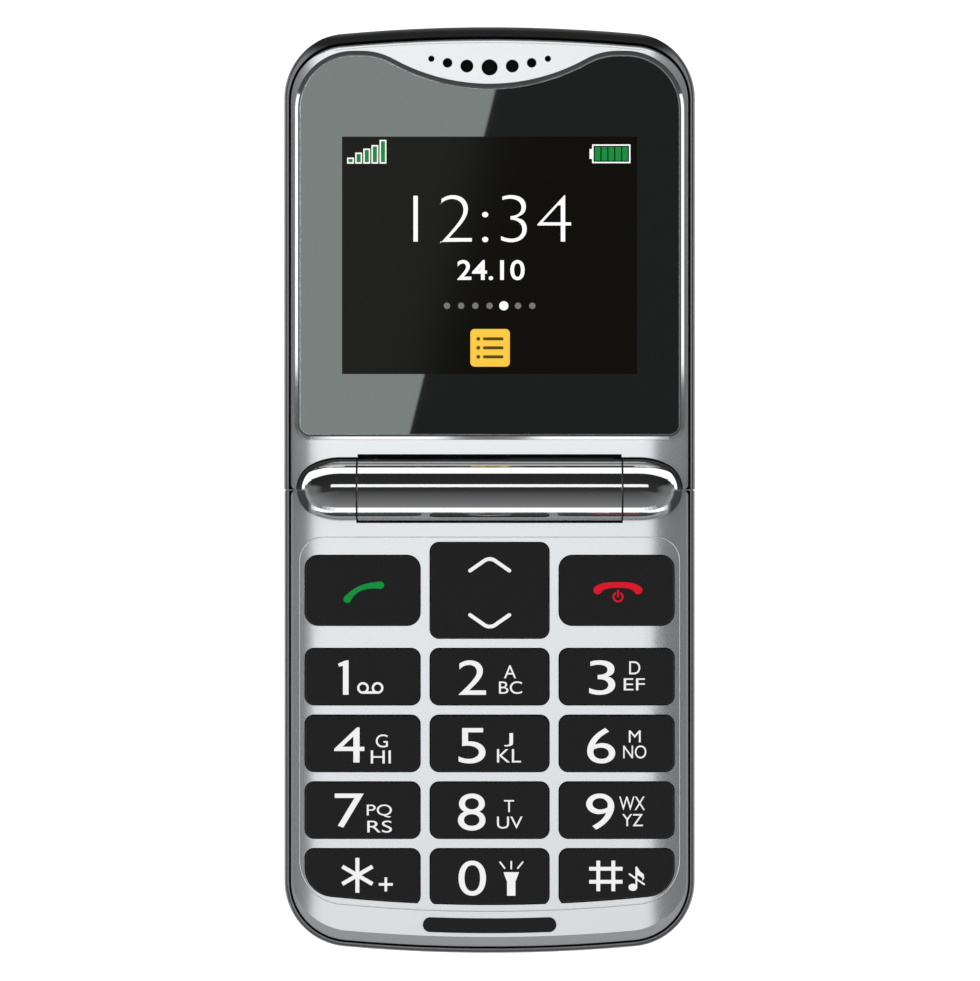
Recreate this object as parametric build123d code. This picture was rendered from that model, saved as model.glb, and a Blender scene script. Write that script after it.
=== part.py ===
from build123d import *
from math import asin, atan2, cos, degrees, sin, sqrt
import os

# Folding phone, open flat on its back: X across, +Y from the hinge to the lid's top, +Z out of the keys.
# The origin is on the table, under the middle of the hinge axis. All lengths are in millimetres.

# Plan of the two halves
body_width = 55.0
half_length = 62.07
body_corner = 8.8
end_crown = 217.0
hinge_split = 0.15
back_edge_radius = 3.0
wall = 1.1
end_wall = 1.5
fit = 0.05
overrun = 2.0

# Rim of the base and its front case
rim_width = 0.6
rim_groove = 0.3
rim_rise = 0.1
rim_round = 0.45
front_corner = 0.7
face_roll = 6.1
roll_drop = 0.8
bevel_width = 1.34
bevel_drop = 0.9

# Rim of the lid, which is broad at the top end
lid_end_lip = 1.65
lid_case_corner = 7.4
lid_case_round = 0.6
lip_round = 1.6

# Heights in the base, from the table up
cover_thickness = 1.2
cover_gap = 0.15
inner_back = 1.0
battery_thickness = 3.7
bay_roof = 0.7
sim_height = 1.1
board_thickness = 0.8
film_thickness = 0.1
dome_rise = 0.15
dome_gap = 0.05
membrane_thickness = 0.2
nub_rise = 0.25
key_travel = 0.4
key_float = 0.1
flange_thickness = 0.4
flange_gap = 0.1
keypad_wall = 0.65
plate_thickness = 0.75
plate_proud = 0.15
plate_edge_round = 0.1
key_proud = 0.3
closing_gap = 0.4
seam_height = 5.0
shell_joint = 7.4

# Hinge
barrel_radius = 4.1
knuckle_gap = 0.15
barrel_chamfer = 0.1
cap_straight = 2.37
dome_length = 5.7
dome_tip_radius = 3.6
cap_tip_gap = 1.75
swing_gap = 0.35
cap_groove = 0.32
barrel_groove = 0.72
trough_wall = 0.73
cartridge_radius = 2.9
cartridge_gap = 4.26
shaft_radius = 1.6
shaft_grip = 4.4
bush_radius = 2.0
bush_wall = 0.5
bush_grip = 2.6
bush_room = 1.0
barrel_end_wall = 1.5
flex_thickness = 0.2
flex_width = 9.0
flex_turn_pitch = 0.5
flex_half_turns = 4
flex_inset = 1.0
flex_bend = 0.5
flex_margin = 1.0
tongue_start = 2.68
tongue_reach = 7.6
tongue_thickness = 1.6
tongue_inset = 1.0
saddle_wall = 1.1
cap_foot_width = 2.0
cap_foot_low = 0.55
cap_foot_span = (0.6, 2.0)
shaft_flat = 1.2
shaft_run = 6.0

# Keys
centre_key_width = 15.8
column_gap = 1.46
key_rows = 4
rows_start = 21.26
row_gap = 1.49
key_corner = 1.15
call_height = 9.25
call_corner = 1.7
rocker_height = 12.7
rocker_place = 13.43
keys_side_gap = 0.86
keys_end_gap = 0.99
keys_over = 0.08
keys_last_corner = 3.75
key_clearance = 0.15
key_flange = 0.5
key_round = 0.2
ear_length = 3.0
nub_radius = 1.5
nub_sides = 12
rocker_nub_place = 2.3
dome_radius = 2.0
dome_sides = 8
dome_lean = 60

# Keypad plate
plate_inset = 2.0
plate_start = 6.3
plate_end_gap = 5.67
plate_corner = 6.0
plate_top_corner = 3.2
plate_crown = 208.0

# Chin bumper
bumper_gap = 3.74
bumper_length = 17.8
bumper_width = 1.9
bumper_thickness = 0.8
bumper_proud = 0.3

# Inside the base
membrane_gap = 0.2
membrane_corner = 4.5
board_start = 8.5
board_end_gap = 2.37
board_gap = 0.35
keypad_gap = 0.55
membrane_foot = 0.5
capsule_bevel = 0.5
battery_side_gap = 10.5
battery_start = 16.0
battery_end_gap = 7.67
battery_play = 0.1
battery_corner = 1.0
bay_wall = 0.8
contact_width = 9.0
contact_depth = 2.2
contact_height = 3.4
blade_width = 0.8
sim_width = 14.0
sim_length = 13.0
sim_rail = 1.0
speaker_side_gap = 18.5
speaker_length = 10.6
speaker_height = 3.0
speaker_corner = 3.0
speaker_slots = 5
speaker_slot_share = 0.5
speaker_slot_width = 0.9
speaker_slot_pitch = 1.9
motor_radius = 3.5
motor_height = 2.7
motor_side_gap = 6.2
motor_start = 7.6
antenna_width = 6.6
antenna_length = 9.6
antenna_height = 3.2
antenna_round = 1.0
antenna_rim = 0.5
antenna_strip = 1.0
port_width = 7.6
port_height = 2.6
port_length = 5.6
port_shell = 0.3
port_tongue = 0.7
port_back = 1.0
mic_radius = 2.0
mic_height = 1.4
mic_hole = 0.45
mic_set_back = 4.45

# Battery cover
cover_start = 14.2
cover_travel = 5.0
hook_width = 3.0
hook_post = 1.2
hook_toe = 1.2
hook_thickness = 0.6
hook_side_gap = 5.9
hook_start = 21.0
hook_end_gap = 16.07
grip_count = 5
grip_length = 14.0
grip_width = 0.8
grip_pitch = 1.7
grip_depth = 0.3
grip_place = 20.0

# Screws
screw_head_radius = 1.3
screw_head_height = 0.8
screw_sink = 0.2
cross_arm_share = 0.6
cross_bar_share = 0.15
screw_radius = 0.7
screw_boss = 1.5
screw_pedestal = 0.6
screw_tip_room = 1.0
boss_gap = 0.1
hinge_screw_side_gap = 12.0
hinge_screw_start = 6.55
chin_screw_side_gap = 12.0
chin_screw_end_gap = 4.07
lid_low_screw_side_gap = 6.0
lid_low_screw_start = 9.75
lid_high_screw_side_gap = 6.5
lid_high_screw_end_gap = 9.37
lid_screw_end = 3.0

# Lens and its trim
lens_side_gap = 2.16
lens_start = 7.46
lens_end_gap = 4.02
lens_low_corner = 1.3
lens_corner = 7.1
lens_shoulder = 8.0
lens_dip_depth = 4.41
lens_crest_flat = 1.14
lens_thickness = 1.2
lens_floor = 0.85
trim_width = 0.7
trim_proud = 0.15
trim_slope = 0.4
trim_slope_drop = 0.13
trim_chamfer = 0.1
lens_sunk = 0.1

# Inside the lid
screen_side_gap = 5.57
screen_low_gap = 8.11
screen_high_gap = 6.14
window_margin = 0.8
display_side_gap = 2.44
display_low_gap = 4.74
display_high_gap = 3.44
display_thickness = 2.6
display_recess = 0.2
lid_back = 1.4
lid_board_thickness = 0.8
tab_start = 8.6
pillar_radius = 2.0
pillar_side_gap = 10.5
pillar_start = 17.0
pillar_end_gap = 19.07
earpiece_width = 14.6
earpiece_length = 4.2
earpiece_height = 3.0
earpiece_roof = 1.35
earpiece_corner = 1.0
mesh_length = 18.4
mesh_width = 2.9
mesh_thickness = 0.2
earpiece_gap = 5.07
hole_spots = ((0, 2.93), (3.04, 3.11), (5.63, 3.54), (7.8, 4.09))
hole_radii = (1.085, 0.865, 0.645, 0.42)
magnet_radius = 2.0
magnet_height = 2.0
magnet_side_gap = 14.0
magnet_end_gap = 6.47
magnet_wall = 0.8
torch_radius = 1.5
torch_height = 3.4
torch_side_gap = 12.5
torch_lamp = 3.0
torch_lamp_depth = 1.2
torch_inset = 1.0

# Worked out in the plan
half_width = body_width / 2
face_edge = hinge_split / 2
case_inset = rim_width + rim_groove
inner_inset = case_inset + wall
case_half = half_width - case_inset
inner_half = half_width - inner_inset
face_flat = case_half - face_roll
lid_case_end = half_length - lid_end_lip

# Worked out along the hinge axis, from the middle
cap_tip = half_width - cap_tip_gap
dome_start = cap_tip - dome_length
barrel_half = dome_start - cap_straight
flex_start = barrel_half - barrel_end_wall - flex_inset
cartridge_length = barrel_half + flex_start - flex_width - cartridge_gap
tongue_end = barrel_half - tongue_inset

# Worked out on the base, from the hinge
plate_side = half_width - plate_inset
plate_end = half_length - plate_end_gap
keys_side = plate_side - keys_side_gap
keys_end = plate_end - keys_end_gap
side_key_width = keys_side - centre_key_width / 2 - column_gap
column_pitch = keys_side - side_key_width / 2
row_pitch = (keys_end + keys_over + row_gap - rows_start) / key_rows
key_height = row_pitch - row_gap
first_row = rows_start + key_height / 2
bumper_place = half_length - bumper_gap
membrane_end = plate_end - membrane_gap
board_end = half_length - board_end_gap
battery_width = 2 * (half_width - battery_side_gap)
battery_length = half_length - battery_end_gap - battery_start
sim_place = battery_start + battery_length / 2
speaker_width = 2 * (half_width - speaker_side_gap)
speaker_slot_length = speaker_width * speaker_slot_share
motor_place = (half_width - motor_side_gap, motor_start)
hook_column = half_width - hook_side_gap
hook_rows = (hook_start, half_length - hook_end_gap)
hinge_screw = (half_width - hinge_screw_side_gap, hinge_screw_start)
chin_screw = (half_width - chin_screw_side_gap, half_length - chin_screw_end_gap)
mic_place = (port_width / 2 + chin_screw[0] - screw_boss - screw_pedestal) / 2

# Worked out on the lid, from the hinge
lens_side = half_width - lens_side_gap
lens_end = half_length - lens_end_gap
lens_dip = lens_end - lens_dip_depth
screen_width = 2 * (lens_side - screen_side_gap)
screen_start = lens_start + screen_low_gap
screen_end = lens_dip - screen_high_gap
display_width = 2 * (lens_side - display_side_gap)
display_start = lens_start + display_low_gap
display_end = lens_dip - display_high_gap
pillar_column = half_width - pillar_side_gap
pillar_rows = (pillar_start, half_length - pillar_end_gap)
earpiece_place = half_length - earpiece_gap
magnet_place = (half_width - magnet_side_gap, half_length - magnet_end_gap)
torch_place = half_width - torch_side_gap
lid_low_screw = (half_width - lid_low_screw_side_gap, lid_low_screw_start)
lid_high_screw = (half_width - lid_high_screw_side_gap, half_length - lid_high_screw_end_gap)

# Worked out in height, from the table up
case_low = cover_thickness + cover_gap
back_floor = case_low + inner_back
battery_top = case_low + battery_thickness
board_low = battery_top + fit + sim_height
board_top = board_low + board_thickness
film_top = board_top + film_thickness
membrane_low = film_top + dome_rise + dome_gap
membrane_top = membrane_low + membrane_thickness
key_low = membrane_top + nub_rise + key_travel + key_float
flange_top = key_low + flange_thickness
wall_low = flange_top + flange_gap
plate_seat = wall_low + keypad_wall
plate_top = plate_seat + plate_thickness
base_face = plate_top - plate_proud
key_top = plate_top + key_proud
bevel_foot = base_face - bevel_drop
base_rim = bevel_foot + rim_rise
lid_top = plate_top
hinge_height = (key_top + closing_gap + lid_top) / 2
lid_face = lid_top - trim_proud
lens_top = lid_top - lens_sunk
lens_low = lens_top - lens_thickness
floor_low = lens_low - lens_floor
display_low = floor_low - display_thickness
lid_board_low = display_low - lid_board_thickness
mesh_top = lid_face - earpiece_roof
mesh_low = mesh_top - mesh_thickness
trough_radius = barrel_radius + barrel_groove + trough_wall


# Shapes used by many pieces

def half_plan(side, end, corner, crown, start):
    """Plan of a half towards +Y: straight sides, round corners and a slightly crowned end."""
    corner_x = side - corner
    crown_y = end - crown
    corner_y = crown_y + sqrt((crown - corner) ** 2 - corner_x ** 2)
    turn = atan2(corner_y - crown_y, corner_x)
    touch_x = corner_x + corner * cos(turn)
    touch_y = corner_y + corner * sin(turn)
    bend_x = corner_x + corner * cos(turn / 2)
    bend_y = corner_y + corner * sin(turn / 2)
    with BuildSketch() as plan:
        with BuildLine():
            Polyline((-side, corner_y), (-side, start), (side, start), (side, corner_y))
            ThreePointArc((side, corner_y), (bend_x, bend_y), (touch_x, touch_y))
            ThreePointArc((touch_x, touch_y), (0, end), (-touch_x, touch_y))
            ThreePointArc((-touch_x, touch_y), (-bend_x, bend_y), (-side, corner_y))
        make_face()
    return plan.sketch


def lid_plan(inset, start):
    """Plan of the lid's outline, or of one set in from it."""
    return half_plan(half_width - inset, half_length - inset, body_corner - inset, end_crown - inset, start)


def base_plan(inset, start):
    """Plan of the base's outline, which is the lid's turned round."""
    return Rot(0, 0, 180) * lid_plan(inset, start)


def lid_case_plan(inset, start):
    """Plan of the lid's front case, which stops short of the top end."""
    side = case_half - inset
    crown = end_crown - lid_end_lip - inset
    return half_plan(side, lid_case_end - inset, lid_case_corner - inset, crown, start)


def slab(plan, low, high):
    """A plan given thickness between two heights."""
    return extrude(Pos(0, 0, low) * plan, amount=high - low)


def block(across, along, up):
    """A box between a low and a high value on each axis."""
    spans = [ends[1] - ends[0] for ends in (across, along, up)]
    middle = [(ends[1] + ends[0]) / 2 for ends in (across, along, up)]
    return Pos(*middle) * Box(*spans)


def post(place, radius, low, high):
    """An upright cylinder between two heights."""
    return Pos(place[0], place[1], (low + high) / 2) * Cylinder(radius, high - low)


def axle(radius, left, right):
    """A cylinder on the hinge axis between two values of X."""
    return Pos((left + right) / 2, 0, hinge_height) * Rot(0, 90, 0) * Cylinder(radius, right - left)


def lengthways(place_x, height, radius, near, far):
    """A cylinder along Y between two values of Y."""
    return Pos(place_x, (near + far) / 2, height) * Rot(90, 0, 0) * Cylinder(radius, abs(far - near))


def both_sides(shape):
    """A shape and its mirror image across the phone."""
    return shape + mirror(shape, Plane.YZ)


def corners_of(places, turn):
    """Left and right places for screws, on the lid for turn 1 and on the base for turn -1."""
    return [(side * place[0], turn * place[1]) for place in places for side in (-1, 1)]


def hinge_form(clearance):
    """The barrel with its two domed ends, grown by a clearance."""
    radius = barrel_radius + clearance
    tip_radius = dome_tip_radius + clearance
    tip = cap_tip + clearance
    side_radius = (dome_length ** 2 + barrel_radius ** 2 - 2 * dome_length * dome_tip_radius) / (
        2 * (barrel_radius - dome_tip_radius)) + clearance
    lean = atan2(side_radius - radius, tip - tip_radius - dome_start)
    meet = (tip - tip_radius + tip_radius * cos(lean), tip_radius * sin(lean))
    half_side = (lean + atan2(1, 0)) / 2
    bulge = (dome_start + side_radius * cos(half_side), radius - side_radius + side_radius * sin(half_side))
    half_tip = (tip - tip_radius + tip_radius * cos(lean / 2), tip_radius * sin(lean / 2))
    with BuildSketch() as profile:
        with BuildLine():
            Polyline((dome_start, radius), (0, radius), (0, 0), (tip, 0))
            ThreePointArc((tip, 0), half_tip, meet)
            ThreePointArc(meet, bulge, (dome_start, radius))
        make_face()
    half = revolve(profile.sketch, Axis.X)
    return Pos(0, 0, hinge_height) * both_sides(half)


def under_front(top):
    """All that lies under the faces' cross curve towards -Y, whose flat middle is at the given height."""
    run = case_half - face_flat
    radius = (run ** 2 + roll_drop ** 2) / (2 * roll_drop)
    reach = half_width + overrun - face_flat
    spread = asin(reach / radius)
    edge = top - radius + radius * cos(spread)
    knee_x = face_flat + radius * sin(spread / 2)
    knee_z = top - radius + radius * cos(spread / 2)
    side = face_flat + reach
    with BuildSketch(Plane.XZ) as profile:
        with BuildLine():
            Polyline((-side, edge), (-side, 0), (side, 0), (side, edge))
            ThreePointArc((side, edge), (knee_x, knee_z), (face_flat, top))
            Line((face_flat, top), (-face_flat, top))
            ThreePointArc((-face_flat, top), (-knee_x, knee_z), (-side, edge))
        make_face()
    return extrude(profile.sketch, amount=half_length + overrun)


def lower_edges(body, height):
    """Edges of a body at one height, other than the straight one at the hinge."""
    level = [edge for edge in body.edges() if abs(edge.center().Z - height) < fit]
    return [edge for edge in level if edge.bounding_box().size.X < fit or edge.geom_type == GeomType.CIRCLE]


def back_tray(plan):
    """The outer tray of a half up to its seam, with a rounded back edge."""
    body = slab(plan, 0, seam_height)
    return fillet(lower_edges(body, 0), min(back_edge_radius, seam_height - wall))


def trough(turn):
    """The half round wall under the barrel, on the lid for turn 1 and on the base for turn -1."""
    side = inner_half - fit
    near = turn * face_edge
    far = turn * (trough_radius + overrun)
    zone = block((-side, side), (min(near, far), max(near, far)), (0, wall_low + keypad_wall / 2))
    return axle(trough_radius, -side, side) & zone


# Keys: name, column, distance from the hinge, height and corner

def key_table():
    """Each pressed key, by name."""
    rows = (("key_1", "key_2", "key_3"), ("key_4", "key_5", "key_6"),
            ("key_7", "key_8", "key_9"), ("key_star", "key_0", "key_hash"))
    table = {"call_key": (-1, rocker_place, call_height, call_corner),
             "end_key": (1, rocker_place, call_height, call_corner)}
    for row, names in enumerate(rows):
        for column, name in enumerate(names):
            table[name] = (column - 1, first_row + row * row_pitch, key_height, key_corner)
    return table


def key_plan(column, distance, height, corner, grow):
    """Plan of a key, grown for its flange or its window; the last row follows the plate's end."""
    width = side_key_width if column else centre_key_width
    plan = RectangleRounded(width + 2 * grow, height + 2 * grow, corner + grow)
    plan = Pos(column * column_pitch, -distance) * plan
    if distance + height / 2 > keys_end:
        side = column_pitch + side_key_width / 2 + grow
        crown = plate_crown - plate_end + keys_end + grow
        plan = plan & Rot(0, 0, 180) * half_plan(side, keys_end + grow, keys_last_corner + grow, crown, 0)
    return plan


def rocker_plan(grow):
    """Plan of the two-way rocker key."""
    outline = RectangleRounded(centre_key_width + 2 * grow, rocker_height + 2 * grow, key_corner + grow)
    return Pos(0, -rocker_place) * outline


def key_windows():
    """Plan of every opening that a key comes through."""
    plans = rocker_plan(key_clearance)
    for values in key_table().values():
        plans += key_plan(*values, key_clearance)
    return plans


def topped(plan):
    """A key's cap under the cross curve, with its top edge eased."""
    cap = slab(plan, key_low, key_top + overrun) & under_front(key_top)
    walls = [face for face in cap.faces() if abs(face.normal_at().Z) < fit]
    upper = [edge for face in walls for edge in face.edges() if edge.center().Z > plate_top - roll_drop]
    level = [edge for edge in upper if edge.bounding_box().size.Z < flange_thickness]
    return fillet(level, key_round)


def pressed_key(column, distance, height, corner):
    """A key with the flange that holds it under the front case."""
    flange = slab(key_plan(column, distance, height, corner, key_flange), key_low, flange_top)
    return topped(key_plan(column, distance, height, corner, 0)) + flange


def nav_key():
    """The rocker, held by an ear at each end of its pivot."""
    ear_end = centre_key_width / 2 + key_flange
    ears = block((-ear_end, ear_end), (-rocker_place - ear_length / 2, -rocker_place + ear_length / 2),
                 (key_low, flange_top))
    return topped(rocker_plan(0)) + ears


# Base: front case, rim, plate and bumper

def plate_plan(grow):
    """Plan of the keypad plate."""
    outline = half_plan(plate_side + grow, plate_end + grow, plate_corner + grow, plate_crown + grow,
                        plate_start - grow)
    near = outline.vertices().sort_by(Axis.Y)[:2]
    return Rot(0, 0, 180) * fillet(near, plate_top_corner + grow)


def bumper_plan(grow):
    """Plan of the chin bumper, a slot bent like the chin."""
    crown_y = end_crown - half_length
    radius = crown_y + bumper_place
    spread = degrees(asin((bumper_length - bumper_width) / 2 / radius))
    spine = CenterArc((0, crown_y), radius, -90 - spread, 2 * spread)
    return SlotArc(spine, bumper_width + 2 * grow)


def base_screw_places():
    """The base's four screws, each with the height of the face that its head is sunk in."""
    places = [(place, 0) for place in corners_of((hinge_screw,), -1)]
    return places + [(place, case_low) for place in corners_of((chin_screw,), -1)]


def base_front_case():
    """Silver front case, with the trough for the barrel and a window for each key."""
    long_plan = base_plan(case_inset, -overrun)
    rise = plate_top - bevel_foot
    lean = degrees(atan2(bevel_width, bevel_drop))
    body = slab(long_plan, shell_joint, bevel_foot)
    body += extrude(Pos(0, 0, bevel_foot) * long_plan, amount=rise, taper=lean)
    body = body & under_front(base_face)
    front_plan = lid_plan(case_inset, face_edge)
    near = front_plan.vertices().sort_by(Axis.Y)[:2]
    body = body & slab(Rot(0, 0, 180) * fillet(near, front_corner), shell_joint, plate_top)
    body -= slab(base_plan(inner_inset, face_edge + end_wall), shell_joint - overrun, wall_low)
    for place, _ in base_screw_places():
        body += post(place, screw_boss, shell_joint, wall_low + fit)
    body += trough(-1)
    body -= hinge_form(fit)
    body -= axle(barrel_radius + swing_gap, -barrel_half - knuckle_gap, barrel_half + knuckle_gap)
    body -= slab(plate_plan(fit), shell_joint, plate_top) - under_front(plate_seat)
    body -= slab(key_windows(), wall_low - overrun, plate_top)
    body -= slab(bumper_plan(fit), base_face - bumper_thickness, plate_top)
    for place, _ in base_screw_places():
        body -= post(place, screw_radius, shell_joint - overrun, wall_low)
    for side in (-1, 1):
        body -= cap_foot(side, fit)
    return body


def upper_rim(body):
    """Edges where the top faces of a body end."""
    edges = [edge for face in body.faces() if face.normal_at().Z > sqrt(0.5) for edge in face.edges()]
    return [edge for edge in edges if sum(edge.is_same(other) for other in edges) == 1]


def keypad_plate():
    """Silver plate that stands a little proud round the keys."""
    body = slab(plate_plan(0), shell_joint, plate_top) & under_front(plate_top)
    body = fillet(upper_rim(body), plate_edge_round)
    body -= under_front(plate_seat)
    return body - slab(key_windows(), shell_joint, plate_top + overrun)


def chin_bumper():
    """Soft strip in the chin that the closed lid rests near."""
    return slab(bumper_plan(0), base_face - bumper_thickness, base_face + bumper_proud)


def base_side_band():
    """Dark metal rim round the base, from the seam to the lip."""
    outer = slab(base_plan(0, face_edge), seam_height, base_rim)
    outer = fillet(lower_edges(outer, base_rim), rim_round)
    body = outer - slab(base_plan(rim_width, face_edge - overrun), seam_height - overrun, base_rim + overrun)
    return body - port_opening() - mic_opening()


# Base: rear case and cover

def port_opening():
    """Opening for the charging plug through the chin end."""
    side = port_width / 2 + key_clearance
    return block((-side, side), (-half_length - overrun, -half_length + port_length),
                 (board_low - port_height - key_clearance, board_low))


def mic_middle():
    """Y of the microphone's middle."""
    return -half_length + mic_set_back


def mic_opening():
    """Sound hole through the chin end."""
    height = board_low - mic_height / 2
    return lengthways(mic_place, height, mic_hole, -half_length - overrun, mic_middle() - mic_radius)


def hook_slots():
    """Slots in the case's back that the cover's hooks slide in."""
    slots = []
    for place in corners_of([(hook_column, row) for row in hook_rows], -1):
        side = hook_width / 2 + key_clearance
        near = place[1] + hook_post / 2 + key_clearance
        far = place[1] - hook_post / 2 - cover_travel - key_clearance
        slots.append(block((place[0] - side, place[0] + side), (far, near), (0, back_floor + fit)))
    return slots


def base_rear_case():
    """Dark rear case with the battery bay, bosses and sound slots."""
    body = back_tray(base_plan(0, face_edge))
    body += slab(base_plan(rim_width + fit, face_edge), seam_height, shell_joint)
    inner = base_plan(inner_inset, face_edge + end_wall)
    body -= slab(inner, back_floor, shell_joint + overrun)
    inner_floor = slab(inner, case_low, back_floor)
    body -= inner_floor & block((-half_width, half_width), (-cover_start + wall, 0), (0, shell_joint))
    beyond = half_width + overrun
    body -= block((-beyond, beyond), (-half_length - overrun, -cover_start + cover_gap), (-overrun, case_low))
    bay_side = battery_width / 2 + battery_play
    bay_near = -battery_start + battery_play
    bay_far = -battery_start - battery_length - battery_play
    body += block((-bay_side - bay_wall, bay_side + bay_wall), (bay_far - bay_wall, bay_near + bay_wall),
                  (case_low, board_low))
    body -= block((-bay_side, bay_side), (bay_far, bay_near), (0, board_low - bay_roof))
    body -= sim_cage(fit, overrun)
    body -= contact_space(fit, overrun)
    for place, face in base_screw_places():
        seat = face + screw_sink + screw_head_height
        body += post(place, screw_boss + screw_pedestal, face, seat + screw_pedestal)
        body += post(place, screw_boss, seat, shell_joint)
    for place, face in base_screw_places():
        seat = face + screw_sink + screw_head_height
        body -= post(place, screw_head_radius + fit, face - overrun, seat)
        body -= post(place, screw_radius + fit, face, shell_joint + overrun)
    body -= axle(trough_radius + fit, -half_width - overrun, half_width + overrun)
    for slot in range(speaker_slots):
        place_y = speaker_middle() + (slot - (speaker_slots - 1) / 2) * speaker_slot_pitch
        slot_plan = Pos(0, place_y) * SlotOverall(speaker_slot_length, speaker_slot_width)
        body -= slab(slot_plan, -overrun, case_low + fit)
    for slot in hook_slots():
        body -= slot
    return body - port_opening() - mic_opening()


def battery_cover():
    """Sliding cover over the battery, with four hooks and a grip."""
    tray = back_tray(base_plan(0, face_edge))
    body = tray & block((-half_width, half_width), (-half_length - overrun, -cover_start),
                        (0, cover_thickness))
    toe_low = back_floor + key_clearance
    for place in corners_of([(hook_column, row) for row in hook_rows], -1):
        across = (place[0] - hook_width / 2, place[0] + hook_width / 2)
        near = place[1] + hook_post / 2
        body += block(across, (near - hook_post, near), (cover_thickness - fit, toe_low + hook_thickness))
        body += block(across, (near - fit, near + hook_toe), (toe_low, toe_low + hook_thickness))
    for groove in range(grip_count):
        plan = Pos(0, -grip_place - groove * grip_pitch) * SlotOverall(grip_length, grip_width)
        body -= slab(plan, -overrun, grip_depth)
    return body


def battery():
    """Flat battery pack with rounded edges."""
    body = block((-battery_width / 2, battery_width / 2), (-battery_start - battery_length, -battery_start),
                 (case_low, battery_top))
    return fillet(body.edges().filter_by(Axis.Z), battery_corner)


# Base: electronics

def inside_plan(inset, start, end):
    """Plan that follows the base's inner wall and stops at the given end."""
    side = inner_half - inset
    corner = body_corner - inner_inset - inset
    return Rot(0, 0, 180) * half_plan(side, end, corner, end_crown - half_length + end, start)


def main_board():
    """Main circuit board, notched round the chin screws."""
    plan = inside_plan(board_gap, board_start, board_end)
    body = slab(plan, board_low, board_top)
    for place in corners_of((chin_screw,), -1):
        body -= post(place, screw_boss + boss_gap, 0, board_top + overrun)
    return body


def keypad_area(inset):
    """Plan under all the keys."""
    side = inner_half - keypad_gap - inset
    crown = end_crown - half_length + membrane_end
    return Rot(0, 0, 180) * half_plan(side, membrane_end - inset, membrane_corner - inset, crown - inset,
                                      board_start + inset)


def press_places():
    """Where each dome is pressed."""
    places = [(values[0] * column_pitch, -values[1]) for values in key_table().values()]
    return places + [(0, -rocker_place - rocker_nub_place), (0, -rocker_place + rocker_nub_place)]


def dome_sheet():
    """Film with a metal dome under each key."""
    body = slab(keypad_area(fit), board_top, film_top)
    for place in press_places():
        foot = Pos(place[0], place[1], film_top - fit) * RegularPolygon(dome_radius, dome_sides)
        body += extrude(foot, amount=dome_rise + fit, taper=dome_lean)
    return body


def keypad_membrane():
    """Silicone sheet with a nub under each key, on a foot round its edge."""
    body = slab(keypad_area(0), membrane_low, membrane_top)
    body += slab(keypad_area(0) - keypad_area(membrane_foot), film_top, membrane_low)
    for place in press_places():
        nub = Pos(place[0], place[1], membrane_top - fit) * RegularPolygon(nub_radius, nub_sides)
        body += extrude(nub, amount=nub_rise + fit)
    return body


def sim_cage(grow, rise):
    """Space of the SIM holder, grown for the window that it sits in."""
    return block((-sim_width / 2 - grow, sim_width / 2 + grow),
                 (-sim_place - sim_length / 2 - grow, -sim_place + sim_length / 2 + grow),
                 (board_low - sim_height, board_low + rise))


def sim_holder():
    """Sheet metal SIM holder with the card's mouth at its lower end."""
    body = sim_cage(0, 0)
    mouth = sim_width / 2 - sim_rail
    return body - block((-mouth, mouth), (-sim_place - sim_length, -sim_place + sim_length / 4),
                        (board_low - sim_height + port_shell, board_low - port_shell))


def contact_space(grow, rise):
    """Space of the battery contacts, grown for their notch in the bay wall."""
    near = -battery_start + battery_play
    return block((-contact_width / 2 - grow, contact_width / 2 + grow),
                 (near - grow, near + contact_depth + grow),
                 (board_low - contact_height - grow, board_low + rise))


def battery_contacts():
    """Contact block with three blades against the battery's end."""
    near = -battery_start + battery_play
    body = contact_space(0, 0)
    for blade in (-1, 0, 1):
        middle = blade * contact_width / 3
        across = (middle - blade_width / 2, middle + blade_width / 2)
        body += block(across, (near - battery_play, near + fit),
                      (board_low - contact_height + fit, battery_top - fit))
    return body


def usb_port():
    """Charging socket: a metal shell with a contact tongue."""
    near = -half_length + rim_width
    low = board_low - port_height
    body = block((-port_width / 2, port_width / 2), (near, near + port_length), (low, board_low))
    body = chamfer(body.edges().filter_by(Axis.Y).group_by(Axis.Z)[0], port_tongue)
    inner = port_width / 2 - port_shell
    mouth = inner - port_tongue
    body -= block((-mouth, mouth), (near - overrun, near + port_length - port_back),
                  (low + port_shell, board_low - port_shell))
    tongue = inner - 2 * port_tongue
    middle = (low + board_low) / 2
    return body + block((-tongue, tongue), (near + port_back, near + port_length - fit),
                        (middle - port_tongue / 2, middle + port_tongue / 2))


def microphone():
    """Microphone capsule behind its hole in the chin."""
    return post((mic_place, mic_middle()), mic_radius, board_low - mic_height, board_low)


def speaker_middle():
    """Y of the loudspeaker's middle."""
    return -face_edge - end_wall - battery_play - speaker_length / 2


def loudspeaker():
    """Loudspeaker capsule on the back wall, over its slots."""
    plan = Pos(0, speaker_middle()) * RectangleRounded(speaker_width, speaker_length, speaker_corner)
    body = slab(plan, case_low, case_low + speaker_height)
    return chamfer(body.faces().sort_by(Axis.Z)[-1].edges(), capsule_bevel)


def vibration_motor():
    """Coin motor on the back wall."""
    place = (motor_place[0], -motor_place[1])
    return post(place, motor_radius, case_low, case_low + motor_height)


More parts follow.
